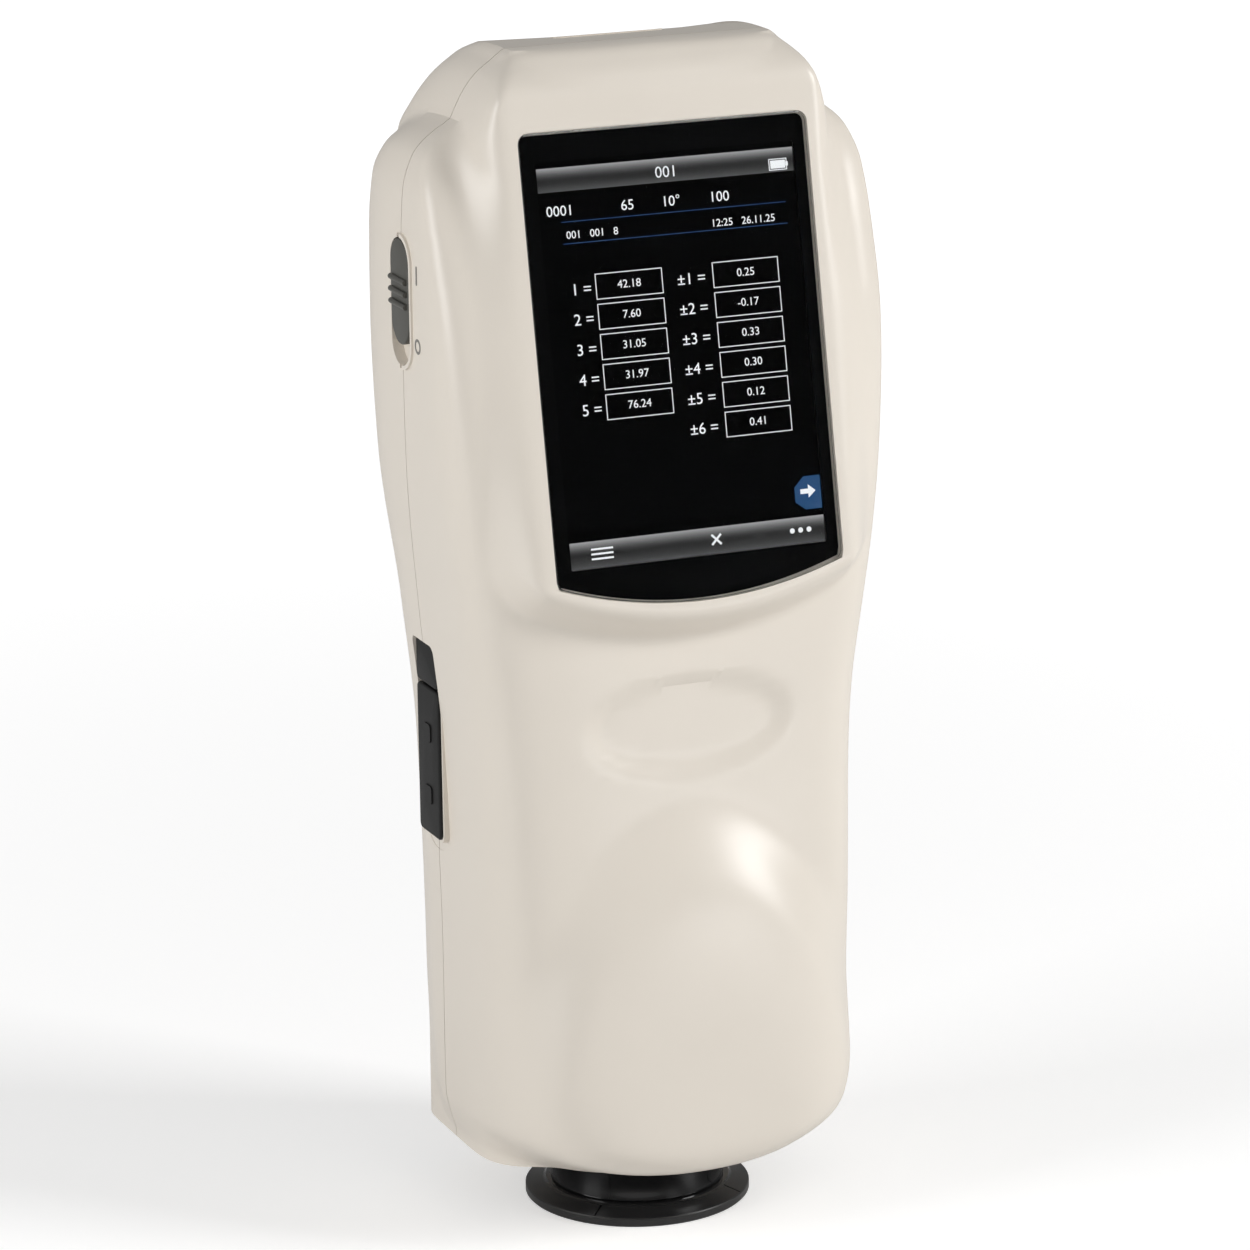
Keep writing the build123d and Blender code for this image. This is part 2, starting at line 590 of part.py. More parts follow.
# Hexagonal standoffs between the display frame and the main board
board_front = bracket_back - STANDOFF_LENGTH
with BuildPart() as board_standoffs:
    with BuildSketch(SCREEN.offset(board_front)):
        with GridLocations(BOARD_WIDTH - 7, BOARD_HEIGHT - 7, 2, 2):
            RegularPolygon(2.0, 6)
    extrude(amount=STANDOFF_LENGTH)
finish(board_standoffs, "board_standoffs")

# Main board with its processor shield, connectors and the ribbon socket
with BuildPart() as main_board:
    with BuildSketch(SCREEN.offset(board_front - BOARD_THICKNESS)):
        RectangleRounded(BOARD_WIDTH, BOARD_HEIGHT, 2)
    extrude(amount=BOARD_THICKNESS)
    with BuildSketch(SCREEN.offset(board_front - BOARD_THICKNESS)):
        with Locations((-8, 12)):
            RectangleRounded(26, 26, 1)
        with Locations((18, 20), (18, 4)):
            Rectangle(9, 9)
        with Locations((0, -30)):
            Rectangle(24, 4)
    extrude(amount=-1.8)
finish(main_board, "main_board")

# Piezo sounder on the back of the main board
with BuildPart() as sounder:
    with BuildSketch(SCREEN.offset(board_front - BOARD_THICKNESS - STACK_GAP)):
        with Locations((16, -16)):
            Circle(6)
    extrude(amount=-2.6)
    with BuildSketch(SCREEN.offset(board_front - BOARD_THICKNESS - STACK_GAP - 2.6)):
        with Locations((16, -16)):
            Circle(1.2)
    extrude(amount=1.0, mode=Mode.SUBTRACT)
finish(sounder, "sounder")

# Lithium battery pack: two flat cells in a shrink sleeve, in a tray on the rear wall
battery_ends = (BATTERY_Z - BATTERY_HEIGHT / 2, BATTERY_Z + BATTERY_HEIGHT / 2)
battery_back = min(skin_y(BATTERY_WIDTH / 2, z, False) for z in battery_ends)
tray_back = battery_back - WALL - 0.5
with BuildPart() as battery_pack:
    with BuildSketch(Plane.XY.offset(BATTERY_Z - BATTERY_HEIGHT / 2)):
        with Locations((0, tray_back - TRAY_WALL - STACK_GAP - BATTERY_DEPTH / 2)):
            with GridLocations(BATTERY_WIDTH / 2, 0, 2, 1):
                RectangleRounded(BATTERY_WIDTH / 2, BATTERY_DEPTH, BATTERY_DEPTH / 2 - 1)
            Rectangle(BATTERY_WIDTH / 2, BATTERY_DEPTH - 5)
    extrude(amount=BATTERY_HEIGHT)
finish(battery_pack, "battery_pack")

# Battery tray: open-fronted moulding that holds the pack against the rear wall
with BuildPart() as battery_tray:
    with BuildSketch(Plane.XY.offset(BATTERY_Z - BATTERY_HEIGHT / 2 - TRAY_WALL - STACK_GAP)):
        with Locations((0, tray_back - (BATTERY_DEPTH * 0.6 + TRAY_WALL) / 2)):
            Rectangle(BATTERY_WIDTH + 2 * TRAY_WALL + 0.4, BATTERY_DEPTH * 0.6 + TRAY_WALL)
    extrude(amount=BATTERY_HEIGHT + 2 * TRAY_WALL + 2 * STACK_GAP)
    with BuildSketch(Plane.XY.offset(BATTERY_Z - BATTERY_HEIGHT / 2 - STACK_GAP)):
        with Locations((0, tray_back - TRAY_WALL - BATTERY_DEPTH / 2 - 0.05)):
            Rectangle(BATTERY_WIDTH + 0.4, BATTERY_DEPTH + 0.1)
    extrude(amount=BATTERY_HEIGHT + 2 * STACK_GAP, mode=Mode.SUBTRACT)
finish(battery_tray, "battery_tray")

# Neck: black turned collar through the housing floor, flared outside, flanged inside, with bayonet slots
neck_bottom = FOOT_CONE_TOP + NECK_FOOT_GAP
neck_bore = SPIGOT_RADIUS + SPIGOT_CLEARANCE
flange_bottom = HOUSING_BOTTOM + WALL + 0.1
flange_top = flange_bottom + NECK_FLANGE_THICKNESS
ledge_bottom = SPIGOT_TOP + 0.4
ledge_top = ledge_bottom + 0.8
groove_radius = SPIGOT_RADIUS + LUG_REACH + GROOVE_CLEARANCE
with BuildPart() as neck:
    with BuildSketch(Plane.XZ):
        with BuildLine():
            Polyline((neck_bore, neck_bottom), (neck_bore, ledge_bottom), (DUST_WINDOW_RADIUS - 1, ledge_bottom),
                     (DUST_WINDOW_RADIUS - 1, ledge_top), (DUST_WINDOW_RADIUS + 0.1, ledge_top),
                     (DUST_WINDOW_RADIUS + 0.1, flange_top), (NECK_FLANGE_RADIUS, flange_top),
                     (NECK_FLANGE_RADIUS, flange_bottom), (NECK_TOP_RADIUS, flange_bottom),
                     (NECK_TOP_RADIUS, HOUSING_BOTTOM - 0.4))
            Spline((NECK_TOP_RADIUS, HOUSING_BOTTOM - 0.4), (NECK_WAIST_RADIUS + 0.9, neck_bottom + 3.4),
                   (NECK_WAIST_RADIUS, neck_bottom), tangents=[(-0.7, -1), (0, -1)])
            Line((NECK_WAIST_RADIUS, neck_bottom), (neck_bore, neck_bottom))
        make_face()
    revolve(axis=Axis.Z)
    with BuildSketch(Plane.XY.offset(LUG_BOTTOM - 0.2)):
        Circle(groove_radius)
        Circle(neck_bore - 0.5, mode=Mode.SUBTRACT)
    extrude(amount=LUG_HEIGHT + 0.4, mode=Mode.SUBTRACT)
    for k in range(LUG_COUNT):
        middle = 360 / LUG_COUNT * k + TWIST_TO_RELEASE
        half_entry = LUG_ANGLE / 2 + LUG_END_CLEARANCE
        with BuildSketch(Plane.XY.offset(neck_bottom - 0.1)):
            with BuildLine():
                CenterArc((0, 0), groove_radius, middle - half_entry, 2 * half_entry)
                CenterArc((0, 0), neck_bore - 0.5, middle - half_entry, 2 * half_entry)
                for edge_angle in (middle - half_entry, middle + half_entry):
                    way = Vector(cos(radians(edge_angle)), sin(radians(edge_angle)))
                    Line(way * (neck_bore - 0.5), way * groove_radius)
            make_face()
        extrude(amount=LUG_BOTTOM - neck_bottom + 0.2, mode=Mode.SUBTRACT)
finish(neck, "neck")

# Dust window over the aperture, on the neck's ledge
with BuildPart() as dust_window:
    with BuildSketch(Plane.XY.offset(ledge_top)):
        Circle(DUST_WINDOW_RADIUS)
    extrude(amount=DUST_WINDOW_THICKNESS)
finish(dust_window, "dust_window")

# Split snap ring over the dust window
with BuildPart() as window_ring:
    with BuildSketch(Plane.XY.offset(ledge_top + DUST_WINDOW_THICKNESS)):
        Circle(DUST_WINDOW_RADIUS + 0.05)
        Circle(DUST_WINDOW_RADIUS - SNAP_RING_WIDTH, mode=Mode.SUBTRACT)
        with Locations((DUST_WINDOW_RADIUS, 0)):
            Rectangle(4, 3, mode=Mode.SUBTRACT)
    extrude(amount=SNAP_RING_THICKNESS)
finish(window_ring, "window_ring")

# Foot: the twist-off aperture ring, a dished disc with the measuring hole, four index marks and bayonet lugs
with BuildPart() as aperture_foot:
    with BuildSketch(Plane.XZ):
        with BuildLine():
            Polyline((APERTURE_RADIUS, 0), (FOOT_RADIUS - 0.3, 0), (FOOT_RADIUS, 0.3), (FOOT_RADIUS, FOOT_RIM),
                     (FOOT_SHOULDER_RADIUS, FOOT_CONE_TOP - 0.35), (FOOT_SHOULDER_RADIUS - 0.5, FOOT_CONE_TOP),
                     (SPIGOT_RADIUS, FOOT_CONE_TOP), (SPIGOT_RADIUS, SEAL_Z - SEAL_GROOVE_HALF),
                     (SPIGOT_RADIUS - SEAL_GROOVE_DEPTH, SEAL_Z - SEAL_GROOVE_HALF),
                     (SPIGOT_RADIUS - SEAL_GROOVE_DEPTH, SEAL_Z + SEAL_GROOVE_HALF),
                     (SPIGOT_RADIUS, SEAL_Z + SEAL_GROOVE_HALF), (SPIGOT_RADIUS, SPIGOT_TOP),
                     (SPIGOT_RADIUS - 2.4, SPIGOT_TOP), (SPIGOT_RADIUS - 3.0, 3.0),
                     (APERTURE_RADIUS, APERTURE_LAND), (APERTURE_RADIUS, 0))
        make_face()
    revolve(axis=Axis.Z)
    for k in range(LUG_COUNT):
        middle = 360 / LUG_COUNT * k
        with BuildSketch(Plane.XY.offset(LUG_BOTTOM)):
            with BuildLine():
                CenterArc((0, 0), SPIGOT_RADIUS + LUG_REACH, middle - LUG_ANGLE / 2, LUG_ANGLE)
                CenterArc((0, 0), SPIGOT_RADIUS - 0.6, middle - LUG_ANGLE / 2, LUG_ANGLE)
                for edge_angle in (middle - LUG_ANGLE / 2, middle + LUG_ANGLE / 2):
                    way = Vector(cos(radians(edge_angle)), sin(radians(edge_angle)))
                    Line(way * (SPIGOT_RADIUS - 0.6), way * (SPIGOT_RADIUS + LUG_REACH))
            make_face()
        extrude(amount=LUG_HEIGHT)
    for k in range(4):
        with BuildSketch(Plane.XY.offset(FOOT_CONE_TOP - 0.6)):
            with PolarLocations((FOOT_RADIUS + FOOT_SHOULDER_RADIUS) / 2, 1, start_angle=45 + 90 * k):
                Rectangle(FOOT_RADIUS - FOOT_SHOULDER_RADIUS + 1.5, 0.35)
        extrude(amount=-0.9, mode=Mode.SUBTRACT)
finish(aperture_foot, "aperture_foot")

# Sealing ring on the foot's spigot
with BuildPart() as foot_seal:
    with BuildSketch(Plane.XZ):
        with Locations((SPIGOT_RADIUS + 0.02 - SEAL_SECTION_RADIUS, SEAL_Z)):
            Circle(SEAL_SECTION_RADIUS)
    revolve(axis=Axis.Z)
finish(foot_seal, "foot_seal")

# Integrating sphere, lower half: white-coated bowl with the sample port and a mounting collar
port_edge = (SPHERE_INNER_RADIUS ** 2 - SAMPLE_PORT_RADIUS ** 2) ** 0.5
with BuildPart() as sphere_lower:
    with BuildSketch(Plane.XZ):
        with Locations((0, sphere_z)):
            Circle(SPHERE_OUTER_RADIUS)
        with Locations((SPHERE_FLANGE_RADIUS / 2, sphere_z - SPHERE_FLANGE_THICKNESS / 2)):
            Rectangle(SPHERE_FLANGE_RADIUS, SPHERE_FLANGE_THICKNESS)
        with Locations((SPHERE_COLLAR_RADIUS / 2, (flange_top + sphere_z) / 2)):
            Rectangle(SPHERE_COLLAR_RADIUS, sphere_z - flange_top)
        with Locations((0, sphere_z)):
            Circle(SPHERE_INNER_RADIUS, mode=Mode.SUBTRACT)
        with Locations((SAMPLE_PORT_RADIUS / 2, flange_top + 10)):
            Rectangle(SAMPLE_PORT_RADIUS, 40, mode=Mode.SUBTRACT)
        with Locations((50, sphere_z)):
            Rectangle(100, 200, mode=Mode.INTERSECT)
        with Locations((0, flange_top - 50), (0, sphere_z + 50)):
            Rectangle(120, 100, mode=Mode.SUBTRACT)
    revolve(axis=Axis.Z)
finish(sphere_lower, "sphere_lower")

# Integrating sphere, upper half: dome with the lamp port and the tilted viewing boss
with BuildPart() as sphere_upper:
    with BuildSketch(Plane.XZ):
        with Locations((0, sphere_z)):
            Circle(SPHERE_OUTER_RADIUS)
        with Locations((SPHERE_FLANGE_RADIUS / 2, sphere_z + SPHERE_FLANGE_THICKNESS / 2)):
            Rectangle(SPHERE_FLANGE_RADIUS, SPHERE_FLANGE_THICKNESS)
        with Locations((50, sphere_z)):
            Rectangle(100, 200, mode=Mode.INTERSECT)
        with Locations((0, sphere_z - 50)):
            Rectangle(120, 100, mode=Mode.SUBTRACT)
    revolve(axis=Axis.Z)
    with BuildSketch(VIEW.offset(SPHERE_INNER_RADIUS)):
        Circle(LENS_TUBE_RADIUS + 1.5)
    extrude(amount=VIEW_BOSS_REACH - SPHERE_INNER_RADIUS)
    with BuildSketch(LAMP.offset(SPHERE_INNER_RADIUS - 3)):
        Circle(LAMP_PORT_RADIUS + 2)
    extrude(amount=LAMP_BOSS_X - SPHERE_INNER_RADIUS + 3)
    with BuildSketch(Plane.XZ):
        with Locations((0, sphere_z)):
            Circle(SPHERE_INNER_RADIUS)
        with Locations((-50, sphere_z)):
            Rectangle(100, 200, mode=Mode.SUBTRACT)
    revolve(axis=Axis.Z, mode=Mode.SUBTRACT)
    with BuildSketch(VIEW):
        Circle(VIEW_PORT_RADIUS)
    extrude(amount=CUT_LENGTH, mode=Mode.SUBTRACT)
    with BuildSketch(LAMP.offset(SPHERE_INNER_RADIUS - 3)):
        Circle(LAMP_PORT_RADIUS)
    extrude(amount=30, mode=Mode.SUBTRACT)
finish(sphere_upper, "sphere_upper")

# Four screws through the sphere's joint flange
with BuildPart() as sphere_screws:
    with BuildSketch(Plane.XY.offset(sphere_z + SPHERE_FLANGE_THICKNESS)):
        with PolarLocations((SPHERE_FLANGE_RADIUS + SPHERE_OUTER_RADIUS) / 2 + 0.2, 4, start_angle=45):
            Circle(1.7)
    extrude(amount=1.3)
finish(sphere_screws, "sphere_screws")

# Lamp: a row of light-emitting diodes in one can on its own small board
with BuildPart() as lamp:
    with BuildSketch(LAMP.offset(LAMP_BOSS_X + STACK_GAP)):
        Circle(LAMP_PORT_RADIUS + 1)
    extrude(amount=LAMP_CAN_LENGTH)
    with BuildSketch(LAMP.offset(LAMP_BOSS_X + STACK_GAP)):
        Circle(LAMP_PORT_RADIUS - 0.8)
    extrude(amount=-1.6)
finish(lamp, "lamp")

# Lamp board behind the can
with BuildPart() as lamp_board:
    with BuildSketch(LAMP.offset(LAMP_BOSS_X + LAMP_CAN_LENGTH + 2 * STACK_GAP)):
        RectangleRounded(16, 14, 1)
    extrude(amount=1.2)
finish(lamp_board, "lamp_board")

# Lens tube on the viewing boss, tilted from the sample's normal
with BuildPart() as lens_tube:
    with BuildSketch(VIEW.offset(VIEW_BOSS_REACH + STACK_GAP)):
        Circle(LENS_TUBE_RADIUS)
        Circle(LENS_TUBE_RADIUS - 1.6, mode=Mode.SUBTRACT)
    extrude(amount=LENS_TUBE_LENGTH)
    with BuildSketch(VIEW.offset(VIEW_BOSS_REACH + STACK_GAP)):
        Circle(LENS_TUBE_RADIUS + 1.3)
        Circle(LENS_TUBE_RADIUS - 1.6, mode=Mode.SUBTRACT)
    extrude(amount=1.6)
    with BuildSketch(VIEW.offset(VIEW_BOSS_REACH + LENS_SEAT)):
        Circle(LENS_TUBE_RADIUS - 1)
        Circle(LENS_TUBE_RADIUS - 2.6, mode=Mode.SUBTRACT)
    extrude(amount=1.0)
finish(lens_tube, "lens_tube")

# Objective lens: plano-convex, on the tube's inner shoulder
with BuildPart() as objective_lens:
    with BuildSketch(VIEW.offset(VIEW_BOSS_REACH + LENS_SEAT + 1.0)):
        Circle(LENS_TUBE_RADIUS - 1.65)
    extrude(amount=3.0)
    with Locations(VIEW * Pos(0, 0, VIEW_BOSS_REACH + LENS_SEAT + 4.0 - LENS_CURVE_RADIUS)):
        Sphere(LENS_CURVE_RADIUS, mode=Mode.INTERSECT)
finish(objective_lens, "objective_lens")

# Spectrometer body at the end of the lens tube: an open box with its entrance hole
box_start = VIEW_BOSS_REACH + STACK_GAP + LENS_TUBE_LENGTH + STACK_GAP
with BuildPart() as spectrometer_body:
    with BuildSketch(VIEW.offset(box_start)):
        RectangleRounded(SPECTROMETER_WIDTH, SPECTROMETER_DEPTH, 1.5)
    extrude(amount=SPECTROMETER_HEIGHT)
    with BuildSketch(VIEW.offset(box_start + SPECTROMETER_WALL)):
        with Locations((0, SPECTROMETER_WALL)):
            Rectangle(SPECTROMETER_WIDTH - 2 * SPECTROMETER_WALL, SPECTROMETER_DEPTH)
    extrude(amount=SPECTROMETER_HEIGHT - 2 * SPECTROMETER_WALL, mode=Mode.SUBTRACT)
    with BuildSketch(VIEW.offset(box_start)):
        Circle(2.2)
    extrude(amount=3, mode=Mode.SUBTRACT)
finish(spectrometer_body, "spectrometer_body")

# Spectrometer lid on the box's open side
box_back = SPECTROMETER_DEPTH / 2 + STACK_GAP
box_middle = VIEW.origin + VIEW.z_dir * (box_start + SPECTROMETER_HEIGHT / 2)
BOX_BACK = Plane(origin=box_middle + VIEW.y_dir * box_back, x_dir=VIEW.x_dir, z_dir=VIEW.y_dir)
with BuildPart() as spectrometer_lid:
    with BuildSketch(BOX_BACK):
        RectangleRounded(SPECTROMETER_WIDTH, SPECTROMETER_HEIGHT, 1.5)
    extrude(amount=1.6)
finish(spectrometer_lid, "spectrometer_lid")

# Concave grating at the far end of the box
with BuildPart() as concave_grating:
    with BuildSketch(VIEW.offset(box_start + SPECTROMETER_HEIGHT - SPECTROMETER_WALL - STACK_GAP)):
        Rectangle(16, 16)
    extrude(amount=-4)
    with Locations(VIEW * Pos(0, 0, box_start + SPECTROMETER_HEIGHT - 4.6 - GRATING_CURVE_RADIUS)):
        Sphere(GRATING_CURVE_RADIUS, mode=Mode.SUBTRACT)
finish(concave_grating, "concave_grating")

# Sensor board with the line sensor, beside the entrance hole
with BuildPart() as sensor_board:
    with BuildSketch(VIEW.offset(box_start + SPECTROMETER_WALL + STACK_GAP)):
        with Locations((11.0, 0)):
            Rectangle(12, 18)
    extrude(amount=1.2)
    with BuildSketch(VIEW.offset(box_start + SPECTROMETER_WALL + STACK_GAP + 1.2)):
        with Locations((11.0, 0)):
            Rectangle(5, 14)
    extrude(amount=2.0)
finish(sensor_board, "sensor_board")

# Power switch: ribbed slider in its pocket, its stem through the slot to the switch behind the wall
knob_rest = (SWITCH_POCKET_LENGTH - SWITCH_KNOB_LENGTH) / 2 - 0.2
knob_base = 0.15
knob_height = SWITCH_POCKET_DEPTH - knob_base + SWITCH_KNOB_PROUD
with BuildPart() as power_switch_knob:
    with BuildSketch(SWITCH_FLOOR.offset(knob_base)):
        with Locations((0, knob_rest)):
            SlotOverall(SWITCH_KNOB_LENGTH, SWITCH_KNOB_WIDTH, rotation=90)
    extrude(amount=knob_height)
    fillet(power_switch_knob.edges().group_by(Axis.X)[0], 0.35)
    with BuildSketch(SWITCH_FLOOR.offset(knob_base + knob_height - 0.3)):
        with Locations((0, knob_rest)):
            with GridLocations(0, SWITCH_RIB_STEP, 1, 3):
                RectangleRounded(SWITCH_KNOB_WIDTH - SWITCH_RIB_WIDTH, SWITCH_RIB_WIDTH, 0.5)
    extrude(amount=0.3 + SWITCH_RIB_PROUD)
    with BuildSketch(SWITCH_FLOOR.offset(knob_base)):
        with Locations((0, knob_rest)):
            Rectangle(SWITCH_STEM_WIDTH, SWITCH_STEM_LENGTH)
    extrude(amount=-SWITCH_STEM_REACH)
finish(power_switch_knob, "power_switch_knob")

# Slide switch behind the wall, its slot round the stem
with BuildPart() as slide_switch:
    with BuildSketch(SWITCH_FLOOR.offset(SWITCH_POCKET_DEPTH - WALL - 0.45)):
        RectangleRounded(SWITCH_BODY_WIDTH, SWITCH_BODY_LENGTH, 0.8)
        Rectangle(SWITCH_STEM_WIDTH + 0.8, SWITCH_TRAVEL + SWITCH_STEM_LENGTH + 1.4, mode=Mode.SUBTRACT)
    extrude(amount=-2.4)
    with BuildSketch(SWITCH_FLOOR.offset(SWITCH_POCKET_DEPTH - WALL - 2.85)):
        RectangleRounded(SWITCH_BODY_WIDTH, SWITCH_BODY_LENGTH, 0.8)
    extrude(amount=-3.2)
finish(slide_switch, "slide_switch")

# Measuring key on the right side, its flange behind the wall
with BuildPart() as measure_key:
    with BuildSketch(KEY.offset(-3.6)):
        SlotOverall(KEY_LENGTH, KEY_WIDTH, rotation=90)
    extrude(amount=3.6)
    fillet(measure_key.edges().group_by(Axis.X)[-1], 0.7)
    with BuildSketch(KEY.offset(-WALL - KEY_PROUD - 0.4 - KEY_TRAVEL)):
        SlotOverall(KEY_LENGTH + 2 * KEY_FLANGE_WIDTH, KEY_WIDTH + 2 * KEY_FLANGE_WIDTH, rotation=90)
    extrude(amount=-KEY_FLANGE_THICKNESS)
    with BuildSketch(KEY.offset(-WALL - KEY_PROUD - 0.4 - KEY_FLANGE_THICKNESS - KEY_TRAVEL)):
        Circle(KEY_PLUNGER_RADIUS)
    extrude(amount=3.0)
finish(measure_key, "measure_key")

# Tactile switch behind the key
key_back = -WALL - KEY_PROUD - 0.4 - KEY_FLANGE_THICKNESS - 2 * KEY_TRAVEL - KEY_CLEARANCE
with BuildPart() as tact_switch:
    with BuildSketch(KEY.offset(key_back)):
        Circle(1.5)
    extrude(amount=-TACT_BUTTON_HEIGHT)
    with BuildSketch(KEY.offset(key_back - TACT_BUTTON_HEIGHT)):
        RectangleRounded(6, 6, 0.4)
    extrude(amount=-TACT_BODY_HEIGHT)
finish(tact_switch, "tact_switch")

# Key board behind the tactile switch
with BuildPart() as key_board:
    with BuildSketch(KEY.offset(key_back - TACT_BUTTON_HEIGHT - TACT_BODY_HEIGHT - STACK_GAP)):
        RectangleRounded(12, 26, 1)
    extrude(amount=-1.2)
finish(key_board, "key_board")

# Port cover, upper part: rubber block fixed in the wall above the hinge groove
cover_seat = -PORT_COVER_PROUD - 1.25
hinge_z = PORT_TOP - PORT_HINGE_DROP
with BuildPart() as port_cover_block:
    with BuildSketch(PORT.offset(cover_seat)):
        with Locations((0, PORT_TOP - PORT_MIDDLE - PORT_HINGE_DROP / 2 + HINGE_GAP / 4)):
            Rectangle(PORT_WIDTH, PORT_HINGE_DROP - HINGE_GAP / 2)
    extrude(amount=-cover_seat)
    fillet(port_cover_block.edges().filter_by(Axis.X).group_by(Axis.Z)[-1], 1.4)
    fillet(port_cover_block.edges().group_by(Axis.X)[0], 0.4)
finish(port_cover_block, "port_cover_block")

# Port cover, lower part: the flap that swings up, with two raised marks
with BuildPart() as port_cover_flap:
    flap_top = hinge_z - HINGE_GAP / 2
    with BuildSketch(PORT.offset(cover_seat)):
        with Locations((0, (flap_top + PORT_BOTTOM) / 2 - PORT_MIDDLE)):
            Rectangle(PORT_WIDTH, flap_top - PORT_BOTTOM)
    extrude(amount=-cover_seat)
    fillet(port_cover_flap.edges().filter_by(Axis.X).group_by(Axis.Z)[0], 1.4)
    fillet(port_cover_flap.edges().group_by(Axis.X)[0], 0.4)
    with BuildSketch(PORT):
        with Locations((0, flap_top - 9 - PORT_MIDDLE), (0, PORT_BOTTOM + 8 - PORT_MIDDLE)):
            RectangleRounded(3.6, 3.6, 0.8)
    extrude(amount=0.25)
finish(port_cover_flap, "port_cover_flap")

# Charging socket behind the flap
socket_face = -port_half_width + PORT_BAY_DEPTH
SOCKET = Plane(origin=(socket_face, PORT_Y, PORT_MIDDLE), x_dir=(0, -1, 0), z_dir=(-1, 0, 0))
with BuildPart() as usb_socket:
    with BuildSketch(SOCKET):
        with Locations((0, USB_Z - PORT_MIDDLE)):
            RectangleRounded(3.2, 8.0, 0.8)
    extrude(amount=-SOCKET_LENGTH)
    with BuildSketch(SOCKET):
        with Locations((0, USB_Z - PORT_MIDDLE)):
            RectangleRounded(2.2, 7.0, 0.6)
            Rectangle(0.7, 4.8, mode=Mode.SUBTRACT)
    extrude(amount=-SOCKET_DEPTH, mode=Mode.SUBTRACT)
finish(usb_socket, "usb_socket")

# Data socket below it
with BuildPart() as serial_socket:
    with BuildSketch(SOCKET):
        with Locations((0, SERIAL_Z - PORT_MIDDLE)):
            RectangleRounded(5.4, 9.0, 0.6)
    extrude(amount=-SOCKET_LENGTH)
    with BuildSketch(SOCKET):
        with Locations((0, SERIAL_Z - PORT_MIDDLE)):
            RectangleRounded(4.2, 7.8, 0.4)
            Rectangle(1.2, 6.0, mode=Mode.SUBTRACT)
    extrude(amount=-SOCKET_DEPTH, mode=Mode.SUBTRACT)
finish(serial_socket, "serial_socket")

# Upright board that carries the two sockets
with BuildPart() as port_board:
    with BuildSketch(SOCKET.offset(-SOCKET_LENGTH - STACK_GAP)):
        with Locations((0, -1)):
            RectangleRounded(15, 34, 1)
    extrude(amount=-1.6)
finish(port_board, "port_board")

# Shroud that carries the port board on the housing wall and closes the bay's sides
shroud_start = socket_face - PORT_BAY_DEPTH + WALL + 1.3
shroud_length = socket_face + SOCKET_LENGTH - shroud_start
with BuildPart() as port_shroud:
    with BuildSketch(SOCKET.offset(socket_face - shroud_start)):
        with Locations((0, (BAY_TOP + BAY_BOTTOM) / 2 - PORT_MIDDLE)):
            RectangleRounded(PORT_BAY_WIDTH + 2 * SHROUD_WALL, BAY_TOP - BAY_BOTTOM + 2 * SHROUD_WALL, 1.8)
            RectangleRounded(PORT_BAY_WIDTH, BAY_TOP - BAY_BOTTOM, 1.0, mode=Mode.SUBTRACT)
    extrude(amount=-shroud_length)
finish(port_shroud, "port_shroud")
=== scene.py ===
import json
from math import atan2, cos, hypot, pi, radians, sin, tan

import bmesh
import bpy
import numpy as np
from mathutils import Matrix, Vector


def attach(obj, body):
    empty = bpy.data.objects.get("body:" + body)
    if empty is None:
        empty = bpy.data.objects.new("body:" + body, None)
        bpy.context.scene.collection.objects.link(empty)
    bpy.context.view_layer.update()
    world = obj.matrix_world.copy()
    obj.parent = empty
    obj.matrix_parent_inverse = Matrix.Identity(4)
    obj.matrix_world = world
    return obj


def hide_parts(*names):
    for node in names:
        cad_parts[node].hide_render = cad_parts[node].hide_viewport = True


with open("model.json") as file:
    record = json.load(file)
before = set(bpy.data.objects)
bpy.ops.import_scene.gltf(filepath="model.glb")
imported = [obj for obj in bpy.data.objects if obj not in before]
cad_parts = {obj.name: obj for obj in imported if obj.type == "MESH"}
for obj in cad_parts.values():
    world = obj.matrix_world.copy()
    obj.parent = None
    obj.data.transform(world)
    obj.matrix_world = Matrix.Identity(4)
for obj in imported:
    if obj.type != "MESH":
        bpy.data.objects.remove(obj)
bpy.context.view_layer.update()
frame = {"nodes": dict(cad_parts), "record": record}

# Housing shape: two deep injection mouldings, lofted over the optics, the boards and the display.
# All its lengths are in millimetres at heights up the instrument, as on the moulder's drawing.
MM = 0.001
HOUSING_BOTTOM, HOUSING_TOP = 12.5, 229.0
BODY_HALF_WIDTH = [(12.5, 28.6), (14, 31.6), (17, 34.4), (23, 36.2), (60, 37.2), (96, 38.4), (120, 40.8),
                   (150, 44.0), (178, 45.2), (193, 45.1), (203, 44.6), (209.5, 42.6), (214, 38.0),
                   (218, 26)]
BODY_FRONT = [(12.5, -24), (14, -26.8), (17, -29.2), (23, -30.6), (60, -30.8), (96, -28.8), (120, -28.4),
              (150, -27.6), (178, -24.4), (194, -19), (204, -14.5), (211, -10), (219, -2)]
BODY_REAR = [(12.5, 24), (14, 27.2), (17, 29.8), (23, 31.6), (60, 33.0), (110, 34.5), (140, 36.6),
             (170, 38.0), (192, 37.4), (203, 35.2), (210, 31.6), (215, 27), (219, 20)]
CROWN_HALF_WIDTH = [(120, 34), (200, 36.4), (212, 35.8), (219, 33.8), (224, 31.2), (227.2, 28),
                    (228.6, 25.8), (229, 23.5)]
CROWN_FRONT = [(120, -14), (200, -16), (212, -17.5), (219, -18), (224, -16.8), (227.2, -14.6),
               (228.6, -13.0), (229, -11.5)]
CROWN_REAR = [(120, 30), (200, 34.4), (212, 33.2), (219, 30.4), (224, 27.2), (227.2, 23.6), (228.6, 21.2),
              (229, 19)]
